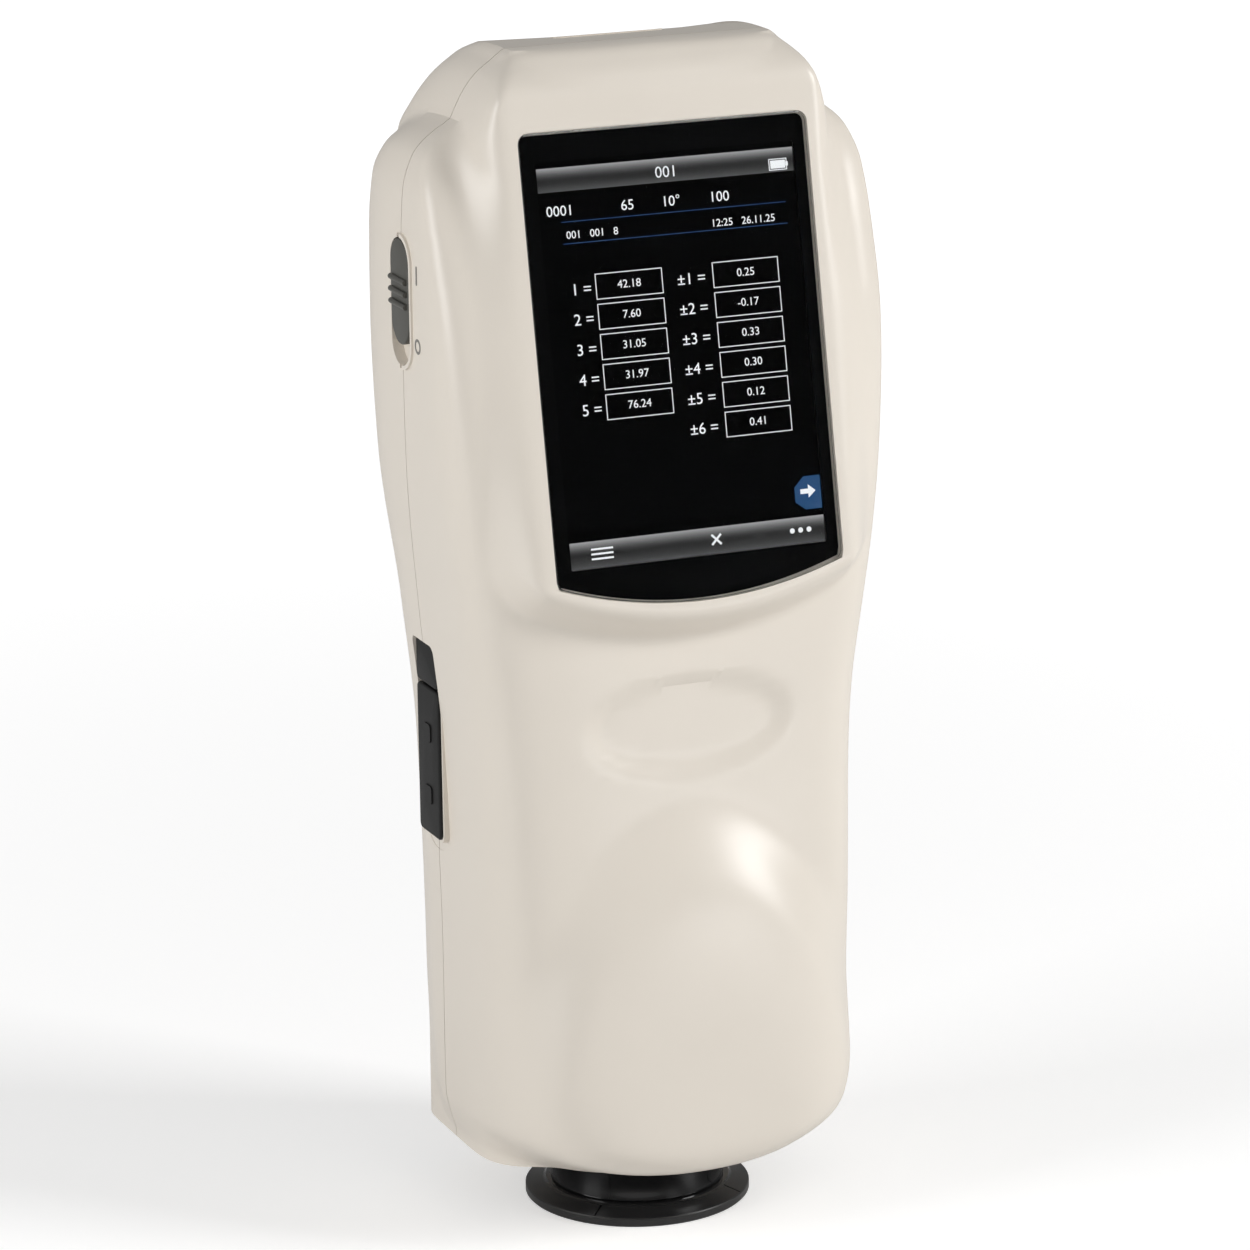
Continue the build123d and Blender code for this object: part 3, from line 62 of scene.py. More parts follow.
PARTING_LINE = [(12.5, 10), (60, 6.8), (116, 5.6), (150, 2), (180, -1), (214, -1), (221, -2.5), (229, -6.5)]
WALL = 2.6
SEAM = 0.2
SIDE_FIT, FRONT_FIT, REAR_FIT = 0.9998, 0.9988, 0.996
SCREEN_LEAN = radians(11.2)
SCREEN_Y, SCREEN_Z = -27.2, 174.3
BLOCK_HALF_WIDTH, BLOCK_BOTTOM, BLOCK_ARCH = 30.3, 127.0, 6.5
BLOCK_SIDE_BLEND, BLOCK_BOTTOM_BLEND = 9.0, 8.5
BROW_START, BROW_ROLL = 221.0, 6.4
BULGE_Z, BULGE_HALF_WIDTH, BULGE_RISE, BULGE_FALL, BULGE_HEIGHT = 25.0, 39.5, 65.0, 13.0, 8.4
# The bulge's firm edge and its soft dome, each as its share of the height and its steepness.
BULGE_PARTS = [(0.45, 2.2), (0.55, 1.15)]
DISH_Z, DISH_HALF_WIDTH, DISH_HALF_HEIGHT, DISH_DEPTH, DISH_EDGE = 102.5, 22.5, 10.0, 1.3, 2.2
FRONT_FADE = 0.35
# How square a section is: at the bottom, the height that this grows over, on the grip, what the top adds,
# and the height from which it does.
FRONT_SQUARENESS, REAR_SQUARENESS = (2.4, 21.5, 5.5, 1.5, 105), (2.05, 34.0, 3.0, 0.6, 120)
SQUARING_SPAN = 30
CROWN_FRONT_SQUARENESS, CROWN_REAR_SQUARENESS, CROWN_BLEND = 4.5, 8.0, 3.0
CROWN_FALL_Z, CROWN_FALL_SPAN, CROWN_EDGE_Y, CROWN_STRAIGHT_Y = 200, 26, -8.0, 12.0
CROWN_CURVE, CROWN_SLOPE = 0.0002, 0.24


def along(stations, z):
    """Value at height z on the smooth curve through (height, value) stations, without overshoot."""
    if z <= stations[0][0]:
        return stations[0][1]
    if z >= stations[-1][0]:
        return stations[-1][1]
    spans = list(zip(stations, stations[1:]))
    slopes = [(b[1] - a[1]) / (b[0] - a[0]) for a, b in spans]
    inner = [0.0 if p * q <= 0 else 2 * p * q / (p + q) for p, q in zip(slopes, slopes[1:])]
    tangents = [slopes[0]] + inner + [slopes[-1]]
    i = next(k for k, (a, b) in enumerate(spans) if z <= b[0])
    (z0, v0), (z1, v1) = spans[i]
    h = z1 - z0
    t = (z - z0) / h
    rising = (1 + 2 * t) * (1 - t) ** 2 * v0 + t * (1 - t) ** 2 * h * tangents[i]
    return rising + t * t * (3 - 2 * t) * v1 + t * t * (t - 1) * h * tangents[i + 1]


def ease(t):
    """0 below 0, 1 above 1 and an S-shaped step between."""
    t = max(0.0, min(1.0, t))
    return t * t * (3 - 2 * t)


def oval_radius(half_x, half_y, squareness, angle):
    """Distance from the centre of a squared oval to its edge at an angle."""
    share_x, share_y = abs(cos(angle) / half_x), abs(sin(angle) / half_y)
    return (share_x ** squareness + share_y ** squareness) ** (-1 / squareness)


def blended_max(p, q):
    """The larger of two radii, rounded where they are about equal, as a moulded inner corner is."""
    h = max(0.0, min(1.0, 0.5 + 0.5 * (p - q) / CROWN_BLEND))
    return q * (1 - h) + p * h + CROWN_BLEND * h * (1 - h)


def sculpted_front(x, y, z):
    """The plain front at (x, y, z), out to the screen block and the bulge and in at the thumb dish."""
    beside = max(0.0, (abs(x) - BLOCK_HALF_WIDTH) / BLOCK_SIDE_BLEND)
    bottom = BLOCK_BOTTOM + BLOCK_ARCH * (x / BLOCK_HALF_WIDTH) ** 2
    below = max(0.0, (bottom - z) / BLOCK_BOTTOM_BLEND)
    block = 1 - ease(hypot(beside, below))
    roll = max(0.0, (z - BROW_START) / (HOUSING_TOP - BROW_START))
    block_y = SCREEN_Y + (z - SCREEN_Z) * tan(SCREEN_LEAN) + BROW_ROLL * roll ** 2
    if block_y < y:
        y += (block_y - y) * block
    rise = (z - BULGE_Z) / BULGE_RISE
    span = rise ** 1.6 if rise > 0 else ((BULGE_Z - z) / BULGE_FALL) ** 2
    swell = 1 - (x / BULGE_HALF_WIDTH) ** 2 - span
    y -= BULGE_HEIGHT * sum(share * ease(steepness * swell) for share, steepness in BULGE_PARTS)
    dish = 1 - (x / DISH_HALF_WIDTH) ** 2 - ((z - DISH_Z) / DISH_HALF_HEIGHT) ** 2
    return y + DISH_DEPTH * ease(DISH_EDGE * dish)


def half_outline(z, inset, front, samples=360):
    """Samples round one half of the housing at height z, from one side of the seam to the other."""
    centre_y = along(PARTING_LINE, z)
    body_x, crown_x = along(BODY_HALF_WIDTH, z) - inset, along(CROWN_HALF_WIDTH, z) - inset
    body_y = (centre_y - along(BODY_FRONT, z) if front else along(BODY_REAR, z) - centre_y) - inset
    crown_y = (centre_y - along(CROWN_FRONT, z) if front else along(CROWN_REAR, z) - centre_y) - inset
    flatness = max(body_y, crown_y) / max(body_x, crown_x)
    bottom, rise, middle, extra, extra_z = FRONT_SQUARENESS if front else REAR_SQUARENESS
    full = middle + extra * ease((z - extra_z) / SQUARING_SPAN)
    squareness = bottom + (full - bottom) * ease((z - HOUSING_BOTTOM) / rise)
    crown_squareness = CROWN_FRONT_SQUARENESS if front else CROWN_REAR_SQUARENESS
    points = []
    for i in range(samples + 1):
        swept = pi * i / samples + (pi if front else 0.0)
        angle = atan2(flatness * sin(swept), cos(swept))
        body = oval_radius(body_x, body_y, squareness, angle)
        radius = blended_max(body, oval_radius(crown_x, crown_y, crown_squareness, angle))
        x, y = radius * cos(angle), centre_y + radius * sin(angle)
        if front:
            y += (sculpted_front(x, y - inset, z) + inset - y) * ease(-sin(angle) / FRONT_FADE)
        points.append((x, y + (-SEAM if front else SEAM) / 2))
    return np.array(points)


def evenly_spaced(points, spans):
    """The same outline with its points at equal steps along it."""
    lengths = np.concatenate(([0.0], np.cumsum(np.hypot(*np.diff(points, axis=0).T))))
    even = np.linspace(0.0, lengths[-1], spans + 1)
    return np.column_stack([np.interp(even, lengths, points[:, 0]), np.interp(even, lengths, points[:, 1])])


def crown_fall(y, z):
    """How far the crown sinks at (y, z): it curves down behind its front edge, then slopes straight."""
    curved = CROWN_CURVE * max(0.0, min(y, CROWN_STRAIGHT_Y) - CROWN_EDGE_Y) ** 3
    straight = CROWN_SLOPE * max(0.0, y - CROWN_STRAIGHT_Y)
    return ease((z - CROWN_FALL_Z) / CROWN_FALL_SPAN) * (curved + straight)


def add_to_scene(obj):
    """Link a new object, so that its modifiers run and it shows."""
    bpy.context.scene.collection.objects.link(obj)


def closed_piece(name, shape):
    """Object of a closed shape, its faces turned outwards."""
    bmesh.ops.recalc_face_normals(shape, faces=shape.faces)
    mesh = bpy.data.meshes.new(name)
    shape.to_mesh(mesh)
    shape.free()
    return bpy.data.objects.new(name, mesh)


def half_form(name, inset, heights, front, spans, overrun=0.0):
    """One half of the housing's volume, closed, with a row of points at each height."""
    back = (1 if front else -1) * overrun
    fit = FRONT_FIT if front else REAR_FIT
    shape = bmesh.new()
    rows = []
    for z in heights:
        seam_y = along(PARTING_LINE, z)
        loop = [(SIDE_FIT * x, seam_y + fit * (y - seam_y))
                for x, y in evenly_spaced(half_outline(z, inset, front), spans)]
        if overrun:
            loop += [(loop[-1][0], loop[-1][1] + back), (loop[0][0], loop[0][1] + back)]
        rows.append([shape.verts.new((x * MM, y * MM, (z - crown_fall(y, z)) * MM)) for x, y in loop])
    for low, high in zip(rows, rows[1:]):
        for i in range(len(low)):
            shape.faces.new((low[i], low[(i + 1) % len(low)], high[(i + 1) % len(low)], high[i]))
    shape.faces.new(rows[0])
    shape.faces.new(rows[-1])
    return closed_piece(name, shape)


def levels(*runs):
    """Heights in runs of (start, end, step), for closer rows where the form turns quickly."""
    found = []
    for start, end, step in runs:
        count = max(1, round((end - start) / step))
        found += [start + (end - start) * i / count for i in range(count)]
    return found + [runs[-1][1]]


outer_levels = levels((HOUSING_BOTTOM, 17, 0.5), (17, 26, 1.1), (26, 112, 2.0), (112, 136, 0.8),
                      (136, 196, 3.0), (196, 226, 1.0), (226, HOUSING_TOP, 0.3))
cavity_levels = levels((HOUSING_BOTTOM + WALL, 24, 2.0), (24, 226.4, 5.0))

# Places on the housing: the leaning screen, the power switch, the port cover and the measuring key.
# Each plane is (origin, x direction, outward normal) in millimetres; the three SIDE values are how far
# the housing's side stands out from the middle there.
SWITCH_Z, SWITCH_DEPTH, SWITCH_POCKET = 182.4, 1.7, (9.4, 24.2)
PORT_Y, PORT_TOP, PORT_BOTTOM, PORT_WIDTH = 6.4, 114.6, 76.2, 11.0
PORT_MIDDLE = (PORT_TOP + PORT_BOTTOM) / 2
KEY_Z, KEY_SIZE = 66.0, (9.0, 22.0)
SWITCH_SIDE, PORT_SIDE, KEY_SIDE = 45.181, 38.372, 37.374
switch_x = SWITCH_DEPTH - SWITCH_SIDE
port_x = -(PORT_SIDE + 1.0)
key_x = KEY_SIDE + 1.0
SCREEN = (Vector((0, SCREEN_Y, SCREEN_Z)), Vector((1, 0, 0)),
          Vector((0, -cos(SCREEN_LEAN), sin(SCREEN_LEAN))))
SWITCH = (Vector((switch_x, -1.0, SWITCH_Z)), Vector((0, -1, 0)), Vector((-1, 0, 0)))
PORT = (Vector((port_x, PORT_Y, PORT_MIDDLE)), Vector((0, -1, 0)), Vector((-1, 0, 0)))
KEY = (Vector((key_x, along(PARTING_LINE, KEY_Z), KEY_Z)), Vector((0, 1, 0)), Vector((1, 0, 0)))


def placed(plane, x, y, depth):
    """Point at (x, y) in a plane, raised by depth along its normal, in metres."""
    origin, across, normal = plane
    return (origin + across * x + normal.cross(across) * y + normal * depth) * MM


def rounded(width, height, radius, steps=6):
    """Outline of a rectangle with round corners, centred."""
    points = []
    for side_x, side_y, start in ((1, 1, 0), (-1, 1, 90), (-1, -1, 180), (1, -1, 270)):
        middle_x, middle_y = side_x * (width / 2 - radius), side_y * (height / 2 - radius)
        for i in range(steps + 1):
            a = radians(start + 90 * i / steps)
            points.append((middle_x + radius * cos(a), middle_y + radius * sin(a)))
    return points


def pill(width, height, steps=12):
    """Outline of a slot with round ends, centred."""
    return rounded(width, height, width / 2 - 0.01, steps)


WINDOW_WIDTH, WINDOW_HEIGHT, WINDOW_CORNER, WINDOW_SAG = 57.5, 83.3, 2.0, 5.0
FOOT_IN, FOOT_UP = 0.35, 1.4  # the window's lower corners are cut off by this much


def window_outline(margin):
    """Outline of the display window, straight on three sides and bowed at the bottom."""
    half, top = WINDOW_WIDTH / 2 + margin, WINDOW_HEIGHT / 2 + margin
    corner = WINDOW_CORNER + margin
    points = []
    for cx, start in ((1, 0), (-1, 90)):
        for i in range(7):
            a = radians(start + 15 * i)
            points.append((cx * (half - corner) + corner * cos(a), top - corner + corner * sin(a)))
    bow = [-half + FOOT_IN + (2 * half - 2 * FOOT_IN) * i / 24 for i in range(25)]
    points.append((-half, -top + FOOT_UP))
    points += [(x, -top - WINDOW_SAG * (1 - (x / half) ** 2)) for x in bow]
    points.append((half, -top + FOOT_UP))
    return points


def prism(name, plane, outline, start, end, shift=(0, 0)):
    """Closed straight-sided solid on an outline in a plane, between two depths."""
    shape = bmesh.new()
    low = [shape.verts.new(placed(plane, x + shift[0], y + shift[1], start)) for x, y in outline]
    high = [shape.verts.new(placed(plane, x + shift[0], y + shift[1], end)) for x, y in outline]
    shape.faces.new(low)
    shape.faces.new(high)
    for i in range(len(outline)):
        j = (i + 1) % len(outline)
        shape.faces.new((low[i], low[j], high[j], high[i]))
    return closed_piece(name, shape)


def settled(obj):
    """The plain mesh that an object in the scene makes with its modifiers run; the object is used up."""
    mesh = bpy.data.meshes.new_from_object(obj.evaluated_get(bpy.context.evaluated_depsgraph_get()))
    bpy.data.objects.remove(obj)
    return mesh


def combined(target, tools, operation):
    """The target with the tools cut away or added, as a new plain piece; the tools are used up."""
    bench = bpy.data.collections.new(f"{target.name}_{operation.lower()}")
    bpy.context.scene.collection.children.link(bench)
    for tool in tools:
        bench.objects.link(tool)
    add_to_scene(target)
    change = target.modifiers.new(operation, "BOOLEAN")
    change.operation, change.solver = operation, "EXACT"
    change.operand_type, change.collection = "COLLECTION", bench
    name = target.name
    mesh = settled(target)
    for tool in tools:
        bpy.data.objects.remove(tool)
    bpy.data.collections.remove(bench)
    return bpy.data.objects.new(name, mesh)


def finished(obj, body, material, replaces=(), sharp=30.0):
    """Shade a piece smooth up to its sharp edges and put it on its body in place of the CAD nodes."""
    add_to_scene(obj)
    obj.data.materials.clear()
    obj.data.materials.append(material)
    obj.data.polygons.foreach_set("use_smooth", [True] * len(obj.data.polygons))
    obj.data.set_sharp_from_angle(angle=radians(sharp))
    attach(obj, body)
    if replaces:
        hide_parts(*replaces)


def moulded_finish():
    """Shared shader group: faint mottling of colour and gloss and a fine grain, on Object coordinates."""
    group = bpy.data.node_groups.new("moulded_finish", "ShaderNodeTree")
    for name, kind, value in (
            ("Colour", "NodeSocketColor", (0.5, 0.5, 0.5, 1)), ("Mottle", "NodeSocketFloat", 0.03),
            ("Roughness", "NodeSocketFloat", 0.4), ("Roughness Spread", "NodeSocketFloat", 0.05),
            ("Grain Size", "NodeSocketFloat", 3000.0), ("Grain Depth", "NodeSocketFloat", 0.1)):
        group.interface.new_socket(name, in_out="INPUT", socket_type=kind).default_value = value
    for name, kind in (("Colour", "NodeSocketColor"), ("Roughness", "NodeSocketFloat"),
                       ("Normal", "NodeSocketVector")):
        group.interface.new_socket(name, in_out="OUTPUT", socket_type=kind)
    node, link = group.nodes.new, group.links.new
    given, out, place = node("NodeGroupInput"), node("NodeGroupOutput"), node("ShaderNodeTexCoord")
    cloud, grain = node("ShaderNodeTexNoise"), node("ShaderNodeTexNoise")
    cloud.inputs["Scale"].default_value = 55.0
    cloud.inputs["Detail"].default_value = 4.0
    grain.inputs["Detail"].default_value = 2.0
    link(place.outputs["Object"], cloud.inputs["Vector"])
    link(place.outputs["Object"], grain.inputs["Vector"])
    link(given.outputs["Grain Size"], grain.inputs["Scale"])
    centred = node("ShaderNodeMath")
    centred.operation, centred.inputs[1].default_value = "SUBTRACT", 0.5
    link(cloud.outputs["Fac"], centred.inputs[0])
    tone = node("ShaderNodeMath")
    tone.operation, tone.inputs[2].default_value = "MULTIPLY_ADD", 1.0
    link(centred.outputs[0], tone.inputs[0])
    link(given.outputs["Mottle"], tone.inputs[1])
    tinted = node("ShaderNodeVectorMath")
    tinted.operation = "SCALE"
    link(given.outputs["Colour"], tinted.inputs[0])
    link(tone.outputs[0], tinted.inputs["Scale"])
    link(tinted.outputs[0], out.inputs["Colour"])
    gloss = node("ShaderNodeMath")
    gloss.operation = "MULTIPLY_ADD"
    link(centred.outputs[0], gloss.inputs[0])
    link(given.outputs["Roughness Spread"], gloss.inputs[1])
    link(given.outputs["Roughness"], gloss.inputs[2])
    link(gloss.outputs[0], out.inputs["Roughness"])
    bump = node("ShaderNodeBump")
    bump.inputs["Distance"].default_value = 0.0001
    link(given.outputs["Grain Depth"], bump.inputs["Strength"])
    link(grain.outputs["Fac"], bump.inputs["Height"])
    link(bump.outputs["Normal"], out.inputs["Normal"])
    return group


FINISH = moulded_finish()


def material_of(name, colour, mottle, roughness, spread, grain_size, grain_depth, **shader_values):
    """A material whose colour, gloss and grain come from the shared finish, with its own values."""
    material = bpy.data.materials.new(name)
    material.use_nodes = True
    nodes, links = material.node_tree.nodes, material.node_tree.links
    shader = nodes["Principled BSDF"]
    group = nodes.new("ShaderNodeGroup")
    group.node_tree = FINISH
    group.inputs["Colour"].default_value = (*colour, 1)
    for socket, value in (("Mottle", mottle), ("Roughness", roughness), ("Roughness Spread", spread),
                          ("Grain Size", grain_size), ("Grain Depth", grain_depth)):
        group.inputs[socket].default_value = value
    links.new(group.outputs["Colour"], shader.inputs["Base Color"])
    links.new(group.outputs["Roughness"], shader.inputs["Roughness"])
    links.new(group.outputs["Normal"], shader.inputs["Normal"])
    for socket, value in shader_values.items():
        shader.inputs[socket.replace("_", " ")].default_value = value
    return material


ivory = material_of("ivory_plastic", (0.745, 0.688, 0.61), 0.03, 0.34, 0.08, 2600.0, 0.06)

# Screw bosses: posts moulded in both halves, as (distance from the middle, height) of three pairs of screws.
# Each screw runs from the rear to a brass insert in the front half, its head deep in a counterbore.
SCREW_PLACES = [(27.0, 26.0), (30.5, 119.0), (34.0, 202.0)]
BOSS_RADIUS = 3.4
screw_spots = [(side * x, z) for x, z in SCREW_PLACES for side in (-1, 1)]


def skin_y(x, z, front):
    """Y of the housing's outer face at (x, z)."""
    outline = half_outline(z, 0.0, front)
    return outline[np.abs(outline[:, 0] - x).argmin()][1]


def across_screw(x, z, y):
    """Plane across a screw at depth y, its normal pointing to the rear."""
    return (Vector((x, y, z)), Vector((-1, 0, 0)), Vector((0, 1, 0)))


def circle(radius, steps=32):
    """Outline of a circle."""
    return [(radius * cos(2 * pi * i / steps), radius * sin(2 * pi * i / steps)) for i in range(steps)]


def bosses(front):
    """Screw bosses of one half, from the seam into the wall."""
    posts = []
    for n, (x, z) in enumerate(screw_spots):
        start = along(PARTING_LINE, z) + (-SEAM if front else SEAM) / 2
        end = skin_y(abs(x) + BOSS_RADIUS, z, front) + (WALL / 3 if front else -WALL / 3)
        posts.append(prism(f"boss_{n}", across_screw(x, z, start), circle(BOSS_RADIUS), 0.0, end - start))
    return posts


def kept_side(outline, centre_y, limit_y, front):
    """The part of an outline in a side plane that lies in front of or behind a limit in Y."""
    sign = 1 if front else -1
    def inside(p):
        return sign * (limit_y - (centre_y - p[0])) >= 0
    kept = []
    for a, b in zip(outline, outline[1:] + outline[:1]):
        if inside(a):
            kept.append(a)
        if inside(a) != inside(b):
            t = (centre_y - limit_y - a[0]) / (b[0] - a[0])
            kept.append((centre_y - limit_y, a[1] + (b[1] - a[1]) * t))
    return kept


def rims(front):
    """Thin moulded beads round the switch pocket and along the port cover, on one half."""
    beads = []
    for name, plane, outline, low, high, middle, length in (
            ("switch_bead", SWITCH, rounded(SWITCH_POCKET[0] + 1.5, SWITCH_POCKET[1] + 1.5, 5.4, 10), -0.6,
             SWITCH_DEPTH + 0.4, SWITCH_Z, SWITCH_POCKET[1]),
            ("port_bead", PORT, rounded(PORT_WIDTH + 1.5, PORT_TOP - PORT_BOTTOM + 1.5, 2.2), -2.6, -0.6,
             PORT_MIDDLE, PORT_TOP - PORT_BOTTOM)):
        ends = [along(PARTING_LINE, middle + way * (length / 2 + 2)) for way in (-1, 1)]
        limit = min(ends) - SEAM / 2 if front else max(ends) + SEAM / 2
        beads.append(prism(name, plane, kept_side(outline, plane[0].y, limit, front), low, high))
    return beads


def side_cuts():
    """Switch pocket and slot, port recess, bay and finger notch, key hole, and the neck's hole below."""
    bay_top, bay_bottom = 103.8, 78.6
    notch = [(4.9 * cos(2 * pi * i / 40), 2.6 * sin(2 * pi * i / 40)) for i in range(40)]
    floor = (Vector((0, 0, HOUSING_BOTTOM)), Vector((1, 0, 0)), Vector((0, 0, 1)))
    return [
        prism("switch_pocket", SWITCH, pill(*SWITCH_POCKET), 0.0, 6.0),
        prism("switch_slot", SWITCH, pill(3.4, 10.0, 6), -4.0, 0.1),
        prism("port_recess", PORT, rounded(PORT_WIDTH + 0.3, PORT_TOP - PORT_BOTTOM + 0.3, 1.6), -2.4, 3.6),
        prism("port_bay", PORT, rounded(8.4, bay_top - bay_bottom, 1.0), -8.0, 0.0,
              (0, (bay_top + bay_bottom) / 2 - PORT_MIDDLE)),
        prism("finger_notch", PORT, notch, -1.9, 2.0, (0, PORT_BOTTOM - PORT_MIDDLE - 0.6)),
        prism("key_hole", KEY, pill(KEY_SIZE[0] + 0.3, KEY_SIZE[1] + 0.3), -8.0, 4.0),
        prism("neck_hole", floor, circle(20.65, 96), -1.0, WALL + 1.0)]


# Front housing: carries the screen block, the thumb dish and the bulge over the optics.
# Moulded in ivory plastic with a fine satin texture; the window is bonded into its seat.
WINDOW_GAP, SEAT_DEPTH, VIEW_SIZE, DISPLAY_POCKET = 0.15, 1.55, (52.4, 77.4), (55.4, 82.4)
INSERT_RADIUS, INSERT_DEPTH = 1.92, 7.1
front_shell = combined(half_form("front_housing_moulding", 0.0, outer_levels, True, 150),
                       [half_form("front_cavity", WALL, cavity_levels, True, 60, 2.0)], "DIFFERENCE")
front_shell = combined(front_shell, bosses(True) + rims(True), "UNION")
window_seat = [prism("seat", SCREEN, window_outline(WINDOW_GAP), -SEAT_DEPTH, 20.0),
               prism("view", SCREEN, rounded(*VIEW_SIZE, 0.3, 1), -8.0, 0.0),
               prism("display_pocket", SCREEN, rounded(*DISPLAY_POCKET, 0.3, 1), -7.7, -2.7)]
insert_holes = [prism(f"insert_{n}", across_screw(x, z, along(PARTING_LINE, z)), circle(INSERT_RADIUS),
                      -INSERT_DEPTH, 1.0) for n, (x, z) in enumerate(screw_spots)]
front_shell = combined(front_shell, window_seat + insert_holes + side_cuts(), "DIFFERENCE")
finished(front_shell, "housing", ivory, ["front_housing"], sharp=28)

# Rear housing: the deep half that the hand closes round, with screw wells and the flat bar on the crown.
# Same plastic and texture; the 0.2 mm gap between the halves is the seam that shows round the sides.
WELL_RADIUS, WELL_START, SHANK_RADIUS = 2.6, 3.0, 1.5
CROWN_BAR_Y, CROWN_BAR_SIZE = 9.5, (22.0, 8.0)
rear_shell = combined(half_form("rear_housing_moulding", 0.0, outer_levels, False, 110),
                      [half_form("rear_cavity", WALL, cavity_levels, False, 50, 2.0)], "DIFFERENCE")
crown = (Vector((0, CROWN_BAR_Y, HOUSING_TOP)), Vector((1, 0, 0)), Vector((0, 0, 1)))
crown_bar = prism("crown_bar", crown, rounded(*CROWN_BAR_SIZE, 1.5), -2.3, -0.3)
for corner in crown_bar.data.vertices:
    corner.co.z -= crown_fall(corner.co.y / MM, HOUSING_TOP) * MM
rear_shell = combined(rear_shell, bosses(False) + rims(False) + [crown_bar], "UNION")
wells = [prism(f"well_{n}", across_screw(x, z, along(PARTING_LINE, z)), circle(WELL_RADIUS), WELL_START, 60.0)
         for n, (x, z) in enumerate(screw_spots)]
shanks = [prism(f"shank_{n}", across_screw(x, z, along(PARTING_LINE, z)), circle(SHANK_RADIUS), -1.0,
                WELL_START + 1.0) for n, (x, z) in enumerate(screw_spots)]
rear_shell = combined(rear_shell, wells + shanks + side_cuts(), "DIFFERENCE")
finished(rear_shell, "housing", ivory, ["rear_housing"], sharp=28)

# Display window: flat clear glass, polished, bonded on the ledge of its seat; its CAD shape is kept.
# A black border is printed behind it, and the same frame carries the adhesive.
glass = bpy.data.materials.new("window_glass")
glass.use_nodes = True
nodes, links = glass.node_tree.nodes, glass.node_tree.links
clear = nodes["Principled BSDF"]
clear.inputs["Base Color"].default_value = (0.97, 0.98, 0.98, 1)
clear.inputs["Transmission Weight"].default_value = 1.0
clear.inputs["IOR"].default_value = 1.45
smudges, place, haze = (nodes.new("ShaderNodeTexNoise"), nodes.new("ShaderNodeTexCoord"),
                        nodes.new("ShaderNodeMapRange"))
smudges.inputs["Scale"].default_value = 60.0
haze.inputs["To Min"].default_value = 0.0
haze.inputs["To Max"].default_value = 0.03
links.new(place.outputs["Object"], smudges.inputs["Vector"])
links.new(smudges.outputs["Fac"], haze.inputs["Value"])
links.new(haze.outputs["Result"], clear.inputs["Roughness"])
border_ink = material_of("border_ink", (0.006, 0.006, 0.0065), 0.1, 0.3, 0.05, 4000.0, 0.02,
                         Specular_IOR_Level=0.05)
BORDER_OPENING, OPENING_PLACE = (51.6, 74.9), (0.3, -1.2)
opening = prism("border_opening", SCREEN, rounded(*BORDER_OPENING, 0.4, 2), -3.0, 0.0, OPENING_PLACE)
border = combined(prism("window_border", SCREEN, window_outline(-0.4), -1.53, -1.37), [opening], "DIFFERENCE")
finished(border, "housing", border_ink, ["window_adhesive"])

# Display picture: the lit page of the colour display, seen through the window.
# Only plain numbers, frames, bars and signs are shown, each a thin lit shape on the dark panel.
MARK_LOW, MARK_HIGH = -1.47, -1.45
LEFT_X, RIGHT_X, FIRST_Y, ROW_STEP, FRAME_SIZE, FRAME_LINE = -9.0, 14.4, 12.8, 5.55, (13.2, 4.6), 0.16


def lit(name, colour, strength):
    """A self-lit material for one colour of the display, with a faint pixel mottling."""
    material = material_of(name, tuple(0.02 * c for c in colour), 0.05, 0.5, 0.02, 4000.0, 0.0)
    shader = material.node_tree.nodes["Principled BSDF"]
    nodes, links = material.node_tree.nodes, material.node_tree.links
    shade, fade = nodes.new("ShaderNodeAttribute"), nodes.new("ShaderNodeMath")
    shade.attribute_name = "Shade"
    fade.operation, fade.inputs[1].default_value = "POWER", 2.2
    links.new(shade.outputs["Fac"], fade.inputs[0])
    tint = nodes.new("ShaderNodeMix")
    tint.data_type = "RGBA"
    tint.inputs[6].default_value = (0.0, 0.0, 0.0, 1)
    tint.inputs[7].default_value = (*colour, 1)
    links.new(fade.outputs[0], tint.inputs["Factor"])
    links.new(tint.outputs[2], shader.inputs["Emission Color"])
    shader.inputs["Emission Strength"].default_value = strength
    return material


def shaded(obj, top=1.0, bottom=1.0):
    """Brightness over a lit shape, from its top edge to its bottom edge in the screen plane."""
    _, across, normal = SCREEN
    up = normal.cross(across)
    heights = [v.co.dot(up) for v in obj.data.vertices]
    low, high = min(heights), max(heights)
    values = obj.data.attributes.new("Shade", "FLOAT", "POINT")
    values.data.foreach_set("value", [bottom + (top - bottom) * (h - low) / (high - low) for h in heights])
    return obj


def joined(name, parts):
    """Several thin shapes as one mesh."""
    shape = bmesh.new()
    for part in parts:
        shape.from_mesh(part.data)
    mesh = bpy.data.meshes.new(name)
    shape.to_mesh(mesh)
    shape.free()
    for part in parts:
        bpy.data.objects.remove(part)
    return bpy.data.objects.new(name, mesh)


def figures(text, x, y, height):
    """Numbers or signs as a thin solid in the screen plane, centred on (x, y), with digits of a height."""
    curve = bpy.data.curves.new(f"figures_{text}", "FONT")
    curve.body, curve.size, curve.extrude = text, height * MM / 0.7, 0.00001
    curve.align_x, curve.align_y, curve.resolution_u = "CENTER", "CENTER", 3
    written = bpy.data.objects.new(curve.name, curve)
    add_to_scene(written)
    mesh = settled(written)
    origin, across, normal = SCREEN
    up = normal.cross(across)
    turn = Matrix((across, up, normal)).transposed().to_4x4()
    turn.translation = placed(SCREEN, x, y, -1.46)
    mesh.transform(turn)
    return bpy.data.objects.new(curve.name, mesh)


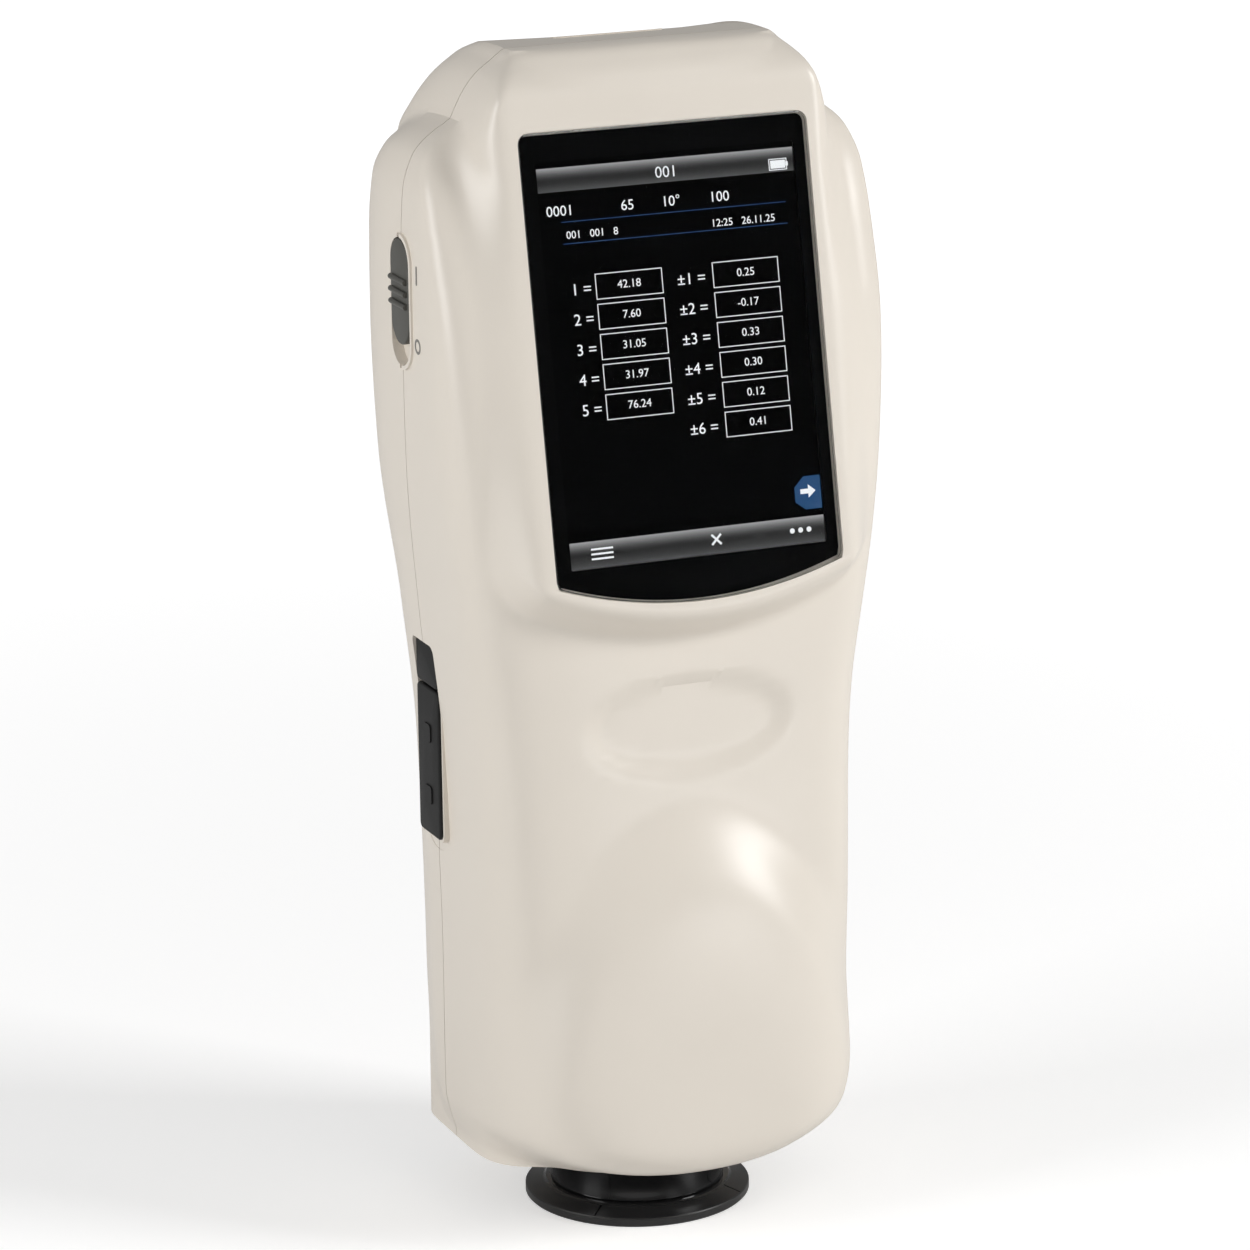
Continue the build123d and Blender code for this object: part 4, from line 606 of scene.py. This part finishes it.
def bar(x, y, width, height):
    """A thin flat bar in the screen plane."""
    return prism("bar", SCREEN, rounded(width, height, 0.05, 2), MARK_LOW, MARK_HIGH, (x, y))


def frame_of(x, y, width, height):
    """A thin rectangular outline, as its top, bottom and two sides."""
    across = [bar(x, y + half, width + FRAME_LINE, FRAME_LINE) for half in (height / 2, -height / 2)]
    return across + [bar(x + half, y, FRAME_LINE, height) for half in (-width / 2, width / 2)]


panel = prism("display_panel", SCREEN, rounded(52.2, 77.2, 0.3, 2), -2.3, -1.6)
finished(panel, "housing", material_of(
    "display_panel", (0.003, 0.003, 0.0035), 0.2, 0.35, 0.03, 5000.0, 0.01, Specular_IOR_Level=0.05))
white_light = lit("display_white", (0.92, 0.94, 0.96), 1.0)
left_values = ["42.18", "7.60", "31.05", "31.97", "76.24"]
right_values = ["0.25", "-0.17", "0.33", "0.30", "0.12", "0.41"]
marks = [bar(22.7, 32.1, 3.0, 1.5), bar(24.5, 32.1, 0.5, 0.8)] + frame_of(22.7, 32.1, 3.5, 2.0)
numbers = [figures(text, x, y, height) for text, x, y, height in (
    ("001", 0.2, 32.5, 2.1), ("65", -8.0, 27.1, 1.9), ("10°", 0.7, 27.1, 1.9), ("100", 10.4, 27.1, 1.9),
    ("0001", -21.4, 27.1, 1.9), ("001   001   8", -15.4, 22.6, 1.4), ("12:25   26.11.25", 14.8, 22.3, 1.4))]
for x, label_x, sign, values in ((LEFT_X, -18.5, "", left_values), (RIGHT_X, 3.4, "±", right_values)):
    for row, value in enumerate(values):
        y = FIRST_Y - row * ROW_STEP
        marks += frame_of(x, y, *FRAME_SIZE)
        numbers += [figures(value, x, y, 1.5), figures(f"{sign}{row + 1} =", label_x, y - 0.3, 2.1)]
arrow = [(-1.5, -0.45), (0.1, -0.45), (0.1, -1.25), (1.6, 0.0), (0.1, 1.25), (0.1, 0.45), (-1.5, 0.45)]
marks.append(prism("arrow", SCREEN, arrow, -1.44, -1.42, (23.1, -28.9)))
marks += [bar(-19.0, y, 4.4, 0.35) for y in (-36.0, -36.9, -35.1)]
cross = [[(-1.1, -0.8), (-0.8, -1.1), (1.1, 0.8), (0.8, 1.1)],
         [(-1.1, 0.8), (0.8, -1.1), (1.1, -0.8), (-0.8, 1.1)]]
marks += [prism("cross", SCREEN, stroke, MARK_LOW, MARK_HIGH + 0.004 * n, (3.9, -35.9))
          for n, stroke in enumerate(cross)]
marks += [prism("dot", SCREEN, circle(0.5, 16), MARK_LOW, MARK_HIGH, (x, -36.0)) for x in (19.3, 21.0, 22.7)]
finished(shaded(joined("display_marks", marks)), "housing", white_light)
finished(shaded(joined("display_numbers", numbers)), "housing", white_light)
bar_grey = lit("display_bar", (0.62, 0.62, 0.63), 0.58)
for name, middle, height, top, bottom in (
        ("header_upper", 33.95, 2.3, 1.0, 0.05), ("header_lower", 31.75, 2.1, 0.05, 0.48),
        ("footer_upper", -34.85, 2.5, 1.0, 0.05), ("footer_lower", -37.35, 2.5, 0.05, 0.48)):
    strip = prism(f"display_{name}", SCREEN, rounded(51.2, height, 0.02, 1), -1.56, -1.52, (0.3, middle))
    finished(shaded(strip, top, bottom), "housing", bar_grey)
rules = joined("display_rules", [bar(1.2, y, 45.0, 0.14) for y in (25.1, 21.1)])
finished(shaded(rules), "housing", lit("display_blue", (0.02, 0.1, 0.32), 0.6))
tab_outline = [(2.7, 3.1), (-0.6, 3.1), (-2.6, 1.2), (-2.6, -1.6), (-0.6, -3.1), (2.7, -3.1)]
tab = prism("display_tab", SCREEN, tab_outline, -1.56, -1.53, (23.1, -29.2))
finished(shaded(tab), "housing", lit("display_tab_blue", (0.01, 0.11, 0.33), 0.5))

# Power switch: dark grey satin slider with three finger ribs, in the pocket on the left side.
# The ribs repeat, so a node tree sets them out from their number, step and size.
switch_grey = material_of("switch_grey", (0.07, 0.069, 0.06), 0.06, 0.42, 0.06, 3000.0, 0.12)
KNOB_LENGTH, KNOB_WIDTH, KNOB_BASE, KNOB_PROUD = 20.0, 9.0, 0.15, 0.5
knob_rest = (SWITCH_POCKET[1] - KNOB_LENGTH) / 2 - 0.2


def rib_tree():
    """Geometry nodes: a row of rounded ribs along Z, each a bar across the slider."""
    tree = bpy.data.node_groups.new("switch_ribs", "GeometryNodeTree")
    tree.interface.new_socket("Geometry", in_out="INPUT", socket_type="NodeSocketGeometry")
    for name, kind in (
            ("Count", "NodeSocketInt"), ("Step", "NodeSocketFloat"), ("Length", "NodeSocketFloat"),
            ("Radius", "NodeSocketFloat"), ("Middle", "NodeSocketVector"),
            ("Material", "NodeSocketMaterial")):
        tree.interface.new_socket(name, in_out="INPUT", socket_type=kind)
    tree.interface.new_socket("Geometry", in_out="OUTPUT", socket_type="NodeSocketGeometry")
    node, link = tree.nodes.new, tree.links.new
    given, out = node("NodeGroupInput"), node("NodeGroupOutput")
    spread, start, reach = node("ShaderNodeCombineXYZ"), node("ShaderNodeVectorMath"), node("ShaderNodeMath")
    link(given.outputs["Step"], spread.inputs["Z"])
    less = node("ShaderNodeMath")
    less.operation, less.inputs[1].default_value = "SUBTRACT", 1.0
    link(given.outputs["Count"], less.inputs[0])
    reach.operation, reach.inputs[1].default_value = "MULTIPLY", -0.5
    link(less.outputs[0], reach.inputs[0])
    start.operation = "MULTIPLY_ADD"
    link(spread.outputs[0], start.inputs[0])
    link(reach.outputs[0], start.inputs[1])
    link(given.outputs["Middle"], start.inputs[2])
    row, rod = node("GeometryNodeMeshLine"), node("GeometryNodeMeshCylinder")
    link(given.outputs["Count"], row.inputs["Count"])
    link(start.outputs[0], row.inputs["Start Location"])
    link(spread.outputs[0], row.inputs["Offset"])
    rod.inputs["Vertices"].default_value = 20
    link(given.outputs["Radius"], rod.inputs["Radius"])
    link(given.outputs["Length"], rod.inputs["Depth"])
    turned = node("GeometryNodeTransform")
    turned.inputs["Rotation"].default_value = (pi / 2, 0.0, 0.0)
    link(rod.outputs["Mesh"], turned.inputs["Geometry"])
    copies, real, dressed = (node("GeometryNodeInstanceOnPoints"), node("GeometryNodeRealizeInstances"),
                             node("GeometryNodeSetMaterial"))
    link(row.outputs["Mesh"], copies.inputs["Points"])
    link(turned.outputs["Geometry"], copies.inputs["Instance"])
    link(copies.outputs["Instances"], real.inputs["Geometry"])
    link(real.outputs["Geometry"], dressed.inputs["Geometry"])
    link(given.outputs["Material"], dressed.inputs["Material"])
    link(dressed.outputs["Geometry"], out.inputs["Geometry"])
    return tree


def grown(name, tree, **values):
    """The plain mesh that a node tree makes from its named inputs."""
    seed = bpy.data.objects.new(name, bpy.data.meshes.new(f"{name}_seed"))
    add_to_scene(seed)
    change = seed.modifiers.new("grow", "NODES")
    change.node_group = tree
    sockets = {s.name: s.identifier for s in tree.interface.items_tree if s.in_out == "INPUT"}
    for key, value in values.items():
        change[sockets[key.replace("_", " ")]] = value
    return bpy.data.objects.new(name, settled(seed))


def bevelled(obj, width):
    """The piece with its sharp edges rounded."""
    add_to_scene(obj)
    change = obj.modifiers.new("edges", "BEVEL")
    change.width, change.segments = width * MM, 3
    change.limit_method, change.angle_limit = "ANGLE", radians(40.0)
    name = obj.name
    return bpy.data.objects.new(name, settled(obj))


knob_top = SWITCH_DEPTH + KNOB_PROUD
slider = bevelled(prism("power_switch_slider", SWITCH, pill(KNOB_WIDTH, KNOB_LENGTH), KNOB_BASE, knob_top,
                        (0, knob_rest)), 0.4)
stem = prism("stem", SWITCH, rounded(2.8, 4.0, 0.3, 2), -2.45, KNOB_BASE + 0.2, (0, knob_rest))
slider = combined(slider, [stem], "UNION")
finished(slider, "power_switch", switch_grey, ["power_switch_knob"])
rib_middle = placed(SWITCH, 0, knob_rest, knob_top + 0.25)
ribs = grown("power_switch_ribs", rib_tree(), Count=3, Step=2.3 * MM, Length=7.8 * MM, Radius=0.55 * MM,
             Middle=tuple(rib_middle), Material=switch_grey)
finished(ribs, "power_switch", switch_grey)

# Switch marks: a stroke and a ring printed in grey beside the pocket, level with the slider's two ends.
# The ink follows the moulding's curve.
ink = material_of("printed_ink", (0.2, 0.19, 0.175), 0.1, 0.5, 0.05, 3000.0, 0.05)
MARK_Y, MARK_ON_Z, MARK_OFF_Z, INK_BELOW, INK_ABOVE = -8.8, 188.6, 175.3, -0.15, 0.06


def side_skin_x(y, z):
    """X of the housing's left side at (y, z), in front of the seam."""
    outline = half_outline(z, 0.0, True)
    left = outline[outline[:, 0] < 0]
    return left[np.abs(left[:, 1] - y).argmin()][0]


def printed(name, outer, inner, y, z):
    """A flat mark laid on the left side: a closed band between two outlines."""
    shape = bmesh.new()
    def laid(points, lift):
        return [shape.verts.new(((side_skin_x(y - px, z + pz) - lift) * MM, (y - px) * MM, (z + pz) * MM))
                for px, pz in points]
    rings = [laid(outer, INK_BELOW), laid(outer, INK_ABOVE), laid(inner, INK_ABOVE), laid(inner, INK_BELOW)]
    for a, b in zip(rings, rings[1:] + rings[:1]):
        for i in range(len(a)):
            j = (i + 1) % len(a)
            shape.faces.new((a[i], a[j], b[j], b[i]))
    return closed_piece(name, shape)


stroke = rounded(0.6, 3.6, 0.28, 3)
core = [(x * 0.05, z * 0.05) for x, z in stroke]
finished(printed("mark_on", stroke, core, MARK_Y, MARK_ON_Z), "housing", ink)
finished(printed("mark_off", circle(1.45), circle(0.95), MARK_Y, MARK_OFF_Z), "housing", ink)

# Neck and foot: black glossy collar that flares up into the housing, and the round aperture foot under it.
# The foot is turned by hand to take it off; its cone is satin, its rim and shoulder glossy.
gloss_black = material_of("gloss_black", (0.006, 0.006, 0.0065), 0.2, 0.12, 0.08, 1500.0, 0.01,
                          Coat_Weight=0.4)


def turned(name, profile, segments=128):
    """A closed ring turned from a profile of (radius, height) points, in millimetres."""
    shape = bmesh.new()
    angles = [2 * pi * k / segments for k in range(segments)]
    rings = [[shape.verts.new((r * cos(a) * MM, r * sin(a) * MM, z * MM)) for a in angles]
             for r, z in profile]
    for a, b in zip(rings, rings[1:] + rings[:1]):
        for k in range(segments):
            j = (k + 1) % segments
            shape.faces.new((a[k], a[j], b[j], b[k]))
    return closed_piece(name, shape)


NECK_BOTTOM, NECK_BORE, FLANGE_BOTTOM, FLANGE_TOP = 3.5, 14.06, 15.2, 16.7
FLARE_TOP, FLARE_RADIUS, FLARE_SPREAD, SHELF_Z = 12.1, 17.0, 3.4, 8.4
flare = [(FLARE_RADIUS + FLARE_SPREAD * t ** 2.2, NECK_BOTTOM + (FLARE_TOP - NECK_BOTTOM) * t)
         for t in [1 - i / 16 for i in range(17)]]
neck = turned("neck_collar", [
    (NECK_BORE, NECK_BOTTOM), (NECK_BORE, SHELF_Z), (10.0, SHELF_Z), (10.0, 9.2), (11.1, 9.2),
    (11.1, FLANGE_TOP), (24.0, FLANGE_TOP), (24.0, FLANGE_BOTTOM), (20.4, FLANGE_BOTTOM)] + flare)
groove = turned("bayonet_groove", [(13.0, 6.0), (15.65, 6.0), (15.65, 8.0), (13.0, 8.0)])
neck = combined(neck, [groove], "DIFFERENCE")
finished(neck, "housing", gloss_black, ["neck"])

FOOT_RADIUS, SHOULDER_Z, SPIGOT_RADIUS, SPIGOT_TOP, APERTURE_RADIUS = 22.0, 3.2, 14.0, 8.0, 4.0
foot_shape = turned("aperture_foot_ring", [
    (APERTURE_RADIUS, 0.0), (FOOT_RADIUS - 0.3, 0.0), (FOOT_RADIUS, 0.3), (FOOT_RADIUS, 1.6), (21.85, 1.8),
    (21.5, 1.86), (18.6, 2.72), (18.3, 2.9), (18.0, 3.15), (17.7, SHOULDER_Z), (SPIGOT_RADIUS, SHOULDER_Z),
    (SPIGOT_RADIUS, 4.25), (13.0, 4.25), (13.0, 5.35), (SPIGOT_RADIUS, 5.35), (SPIGOT_RADIUS, SPIGOT_TOP),
    (11.6, SPIGOT_TOP), (11.0, 3.0), (APERTURE_RADIUS, 1.0)], 160)
index_lines = []
for k in range(4):
    way = Vector((cos(radians(45 + 90 * k)), sin(radians(45 + 90 * k)), 0))
    down_cone = (way - Vector((0, 0, 0.3))).normalized()
    above = (Vector((0, 0, 1)) + way * 0.3).normalized()
    index_lines.append(prism(f"index_{k}", (way * 20.05 + Vector((0, 0, 2.29)), down_cone, above),
                             rounded(3.6, 0.4, 0.1, 1), -0.25, 1.0))
foot_black = material_of("foot_black", (0.012, 0.012, 0.0125), 0.2, 0.4, 0.06, 2500.0, 0.05)
nodes, links = foot_black.node_tree.nodes, foot_black.node_tree.links
where, flat, reach, shine = (nodes.new("ShaderNodeTexCoord"), nodes.new("ShaderNodeVectorMath"),
                             nodes.new("ShaderNodeVectorMath"), nodes.new("ShaderNodeMapRange"))
flat.operation, flat.inputs[1].default_value = "MULTIPLY", (1.0, 1.0, 0.0)
reach.operation = "LENGTH"
for socket, value in (("From Min", 0.0182), ("From Max", 0.0186), ("To Min", 0.09), ("To Max", 0.38)):
    shine.inputs[socket].default_value = value
links.new(where.outputs["Object"], flat.inputs[0])
links.new(flat.outputs[0], reach.inputs[0])
links.new(reach.outputs["Value"], shine.inputs["Value"])
finish_of_foot = next(n for n in nodes if n.type == "GROUP")
links.new(shine.outputs["Result"], finish_of_foot.inputs["Roughness"])
LUG_BOTTOM, LUG_HEIGHT = 6.2, 1.6
lugs = []
for k in range(3):
    way = Vector((cos(radians(120 * k)), sin(radians(120 * k)), 0))
    lugs.append(prism(f"lug_{k}", (Vector((0, 0, LUG_BOTTOM)), way, Vector((0, 0, 1))),
                      [(14.6, -3.0), (15.5, -2.9), (15.5, 2.9), (14.6, 3.0), (13.6, 0.0)], 0.0, LUG_HEIGHT))
foot_shape = combined(foot_shape, lugs, "UNION")
foot_shape = combined(foot_shape, index_lines, "DIFFERENCE")
finished(foot_shape, "foot", foot_black, ["aperture_foot"], sharp=18)

# Port cover: matt black rubber, fixed at the top and hinged on its moulded groove, with two raised marks.
# The flap lifts to bare the sockets.
rubber = material_of("cover_rubber", (0.009, 0.009, 0.009), 0.15, 0.5, 0.06, 3500.0, 0.2,
                     Specular_IOR_Level=0.25)
HINGE_DROP, HINGE_GAP, SEAT, COVER_CORNER, COVER_EDGE = 8.8, 0.5, -2.25, 1.2, 0.4
block_height = HINGE_DROP - HINGE_GAP / 2
block = prism("port_cover_fixed_part", PORT, rounded(PORT_WIDTH, block_height, COVER_CORNER), SEAT, 0.0,
              (0, PORT_TOP - PORT_MIDDLE - block_height / 2))
finished(bevelled(block, COVER_EDGE), "housing", rubber, ["port_cover_block"])
flap_top = PORT_TOP - HINGE_DROP - HINGE_GAP / 2
flap = prism("port_cover_moving_part", PORT, rounded(PORT_WIDTH, flap_top - PORT_BOTTOM, COVER_CORNER), SEAT,
             0.0, (0, (flap_top + PORT_BOTTOM) / 2 - PORT_MIDDLE))
raised = [prism(f"raised_mark_{n}", PORT, rounded(3.6, 3.6, 0.8), -0.4, 0.25, (0, z - PORT_MIDDLE))
          for n, z in enumerate((flap_top - 9, PORT_BOTTOM + 8))]
flap = combined(bevelled(flap, COVER_EDGE), raised, "UNION")
finished(flap, "cover_flap", rubber, ["port_cover_flap"])

# Measuring key on the right side: a long ivory button, moulded in the housing's plastic.
# It stands 1 mm proud with rounded edges.
key = bevelled(prism("measuring_key_cap", KEY, pill(*KEY_SIZE), -3.6, 0.0), 0.7)
key_flange = prism("flange", KEY, pill(11.4, 24.4), -5.7, -4.7)
key_plunger = prism("plunger", KEY, circle(1.6), -5.7, -3.0)
key = combined(key, [key_flange, key_plunger], "UNION")
finished(key, "measure_button", ivory, ["measure_key"])

# Inner parts and the window's glass keep their CAD shapes and get the finish of their own material.
# Of these only the glass shows while the housing is shut, and the sockets when the flap is up.
inner_finishes = {
    name: material_of(name, colour, *finish, Metallic=metallic) for name, colour, finish, metallic in (
        ("display_black", (0.02, 0.02, 0.025), (0.1, 0.3, 0.05, 2000.0, 0.05), 0.0),
        ("sheet_steel", (0.6, 0.6, 0.6), (0.08, 0.35, 0.1, 1800.0, 0.1), 1.0),
        ("screw_steel", (0.22, 0.22, 0.23), (0.1, 0.35, 0.1, 2500.0, 0.1), 1.0),
        ("turned_brass", (0.78, 0.6, 0.3), (0.06, 0.3, 0.1, 2000.0, 0.1), 1.0),
        ("board_green", (0.02, 0.17, 0.07), (0.2, 0.4, 0.1, 900.0, 0.1), 0.0),
        ("battery_sleeve", (0.05, 0.12, 0.35), (0.08, 0.3, 0.1, 500.0, 0.05), 0.0),
        ("seal_rubber", (0.02, 0.02, 0.02), (0.1, 0.6, 0.1, 3000.0, 0.2), 0.0),
        ("sphere_white", (0.9, 0.9, 0.88), (0.02, 0.8, 0.05, 2500.0, 0.2), 0.0),
        ("black_aluminium", (0.05, 0.05, 0.055), (0.1, 0.4, 0.1, 2500.0, 0.1), 0.8),
        ("grating_mirror", (0.85, 0.85, 0.9), (0.02, 0.08, 0.02, 6000.0, 0.05), 1.0))}
inner_finishes |= {"black_plastic": gloss_black, "optical_glass": glass, "window_glass": glass}
for part in frame["record"]["subparts"]:
    node = frame["nodes"][part["node"]]
    if part["material_slot"] in inner_finishes:
        node.data.materials.clear()
        node.data.materials.append(inner_finishes[part["material_slot"]])

# Studio: a pale floor that runs on behind, two large soft lights, a small low one and a pale surround.
# The floor meets the foot and keeps the soft shadow under it.
floor_mesh = bpy.data.meshes.new("studio_floor")
floor_mesh.from_pydata([(-6, -6, 0), (6, -6, 0), (6, 6, 0), (-6, 6, 0)], [], [(0, 1, 2, 3)])
floor = bpy.data.objects.new("studio_floor", floor_mesh)
add_to_scene(floor)
paper = bpy.data.materials.new("studio_paper")
paper.use_nodes = True
nodes, links = paper.node_tree.nodes, paper.node_tree.links
sheet_shader = nodes["Principled BSDF"]
sheet_shader.inputs["Base Color"].default_value = (0.9, 0.9, 0.9, 1)
sheet_shader.inputs["Roughness"].default_value = 0.9
sheet_shader.inputs["Emission Color"].default_value = (1, 1, 1, 1)
seen, strength, spot = (nodes.new("ShaderNodeLightPath"), nodes.new("ShaderNodeMath"),
                        nodes.new("ShaderNodeTexCoord"))
distance, glow = nodes.new("ShaderNodeVectorMath"), nodes.new("ShaderNodeMapRange")
strength.operation, distance.operation = "MULTIPLY", "LENGTH"
glow.interpolation_type = "SMOOTHSTEP"
for socket, value in (("From Min", 0.1), ("From Max", 1.1), ("To Min", 0.36), ("To Max", 0.78)):
    glow.inputs[socket].default_value = value
links.new(spot.outputs["Object"], distance.inputs[0])
links.new(distance.outputs["Value"], glow.inputs["Value"])
links.new(glow.outputs["Result"], strength.inputs[1])
links.new(seen.outputs["Is Camera Ray"], strength.inputs[0])
links.new(strength.outputs[0], sheet_shader.inputs["Emission Strength"])
floor_mesh.materials.append(paper)

world = bpy.data.worlds.new("studio_surround")
bpy.context.scene.world = world
world.use_nodes = True
nodes, links = world.node_tree.nodes, world.node_tree.links
surround, backdrop = nodes["Background"], nodes.new("ShaderNodeBackground")
surround.inputs["Color"].default_value = (1, 1, 1, 1)
surround.inputs["Strength"].default_value = 0.3
backdrop.inputs["Color"].default_value = (1, 1, 1, 1)
backdrop.inputs["Strength"].default_value = 1.0
path, choice = nodes.new("ShaderNodeLightPath"), nodes.new("ShaderNodeMixShader")
links.new(path.outputs["Is Camera Ray"], choice.inputs[0])
links.new(surround.outputs[0], choice.inputs[1])
links.new(backdrop.outputs[0], choice.inputs[2])
links.new(choice.outputs[0], nodes["World Output"].inputs["Surface"])


def softbox(name, place, power, width, height):
    """A rectangular studio light, aimed at the middle of the instrument."""
    light = bpy.data.lights.new(name, "AREA")
    light.shape, light.size, light.size_y, light.energy = "RECTANGLE", width, height, power
    lamp = bpy.data.objects.new(name, light)
    add_to_scene(lamp)
    lamp.location = place
    lamp.rotation_euler = (Vector((0, 0, 0.12)) - lamp.location).to_track_quat("-Z", "Y").to_euler()


softbox("key_light", Vector((1.2, -0.95, 0.75)), 16.5, 0.5, 0.6)
softbox("left_light", Vector((-1.3, -0.15, 0.5)), 9.5, 0.6, 0.8)
softbox("low_light", Vector((0.28, -0.62, 0.05)), 0.4, 0.2, 0.08)

# Black card that the window mirrors, so that the display reads against black.
# It stands to the front right, out of the camera's view.
CARD_HALF = 0.28
card_mesh = bpy.data.meshes.new("studio_card")
card_corners = [(x * CARD_HALF, y * CARD_HALF, 0) for x, y in ((-1, -1), (1, -1), (1, 1), (-1, 1))]
card_mesh.from_pydata(card_corners, [], [(0, 1, 2, 3)])
card = bpy.data.objects.new("studio_card", card_mesh)
add_to_scene(card)
card.location = (0.33, -0.86, 0.27)
card.rotation_euler = Vector((-0.369, 0.924, -0.095)).to_track_quat("Z", "Y").to_euler()
card_mesh.materials.append(material_of("studio_card", (0.004, 0.004, 0.004), 0.1, 0.9, 0.05, 500.0, 0.1,
                                       Specular_IOR_Level=0.0))
card.visible_camera = card.visible_diffuse = card.visible_shadow = False

# Camera: a long lens level with the display, to the front and left, a little above.
CAMERA_YAW, CAMERA_PITCH, CAMERA_ROLL = radians(22.5), radians(15.3), radians(-0.79)
CAMERA_DISTANCE, AIM_HEIGHT, AIM_SIDE = 1.059, 0.1147, -0.0009
PICTURE_SIZE, FOCAL_PIXELS, SENSOR = 1250, 5528, 36.0
back = Vector((-sin(CAMERA_YAW) * cos(CAMERA_PITCH), -cos(CAMERA_YAW) * cos(CAMERA_PITCH),
               sin(CAMERA_PITCH)))
right = Vector((cos(CAMERA_YAW), -sin(CAMERA_YAW), 0))
up = back.cross(right)
camera = bpy.data.objects.new("camera", bpy.data.cameras.new("camera"))
add_to_scene(camera)
camera.data.sensor_width, camera.data.lens = SENSOR, SENSOR * FOCAL_PIXELS / PICTURE_SIZE
turned_right = right * cos(CAMERA_ROLL) + up * sin(CAMERA_ROLL)
turned_up = up * cos(CAMERA_ROLL) - right * sin(CAMERA_ROLL)
orientation = Matrix((turned_right, turned_up, back)).transposed().to_4x4()
orientation.translation = Vector((0, 0, AIM_HEIGHT)) + right * AIM_SIDE + back * CAMERA_DISTANCE
camera.matrix_world = orientation
bpy.context.scene.camera = camera
bpy.context.scene.view_settings.view_transform = "Standard"
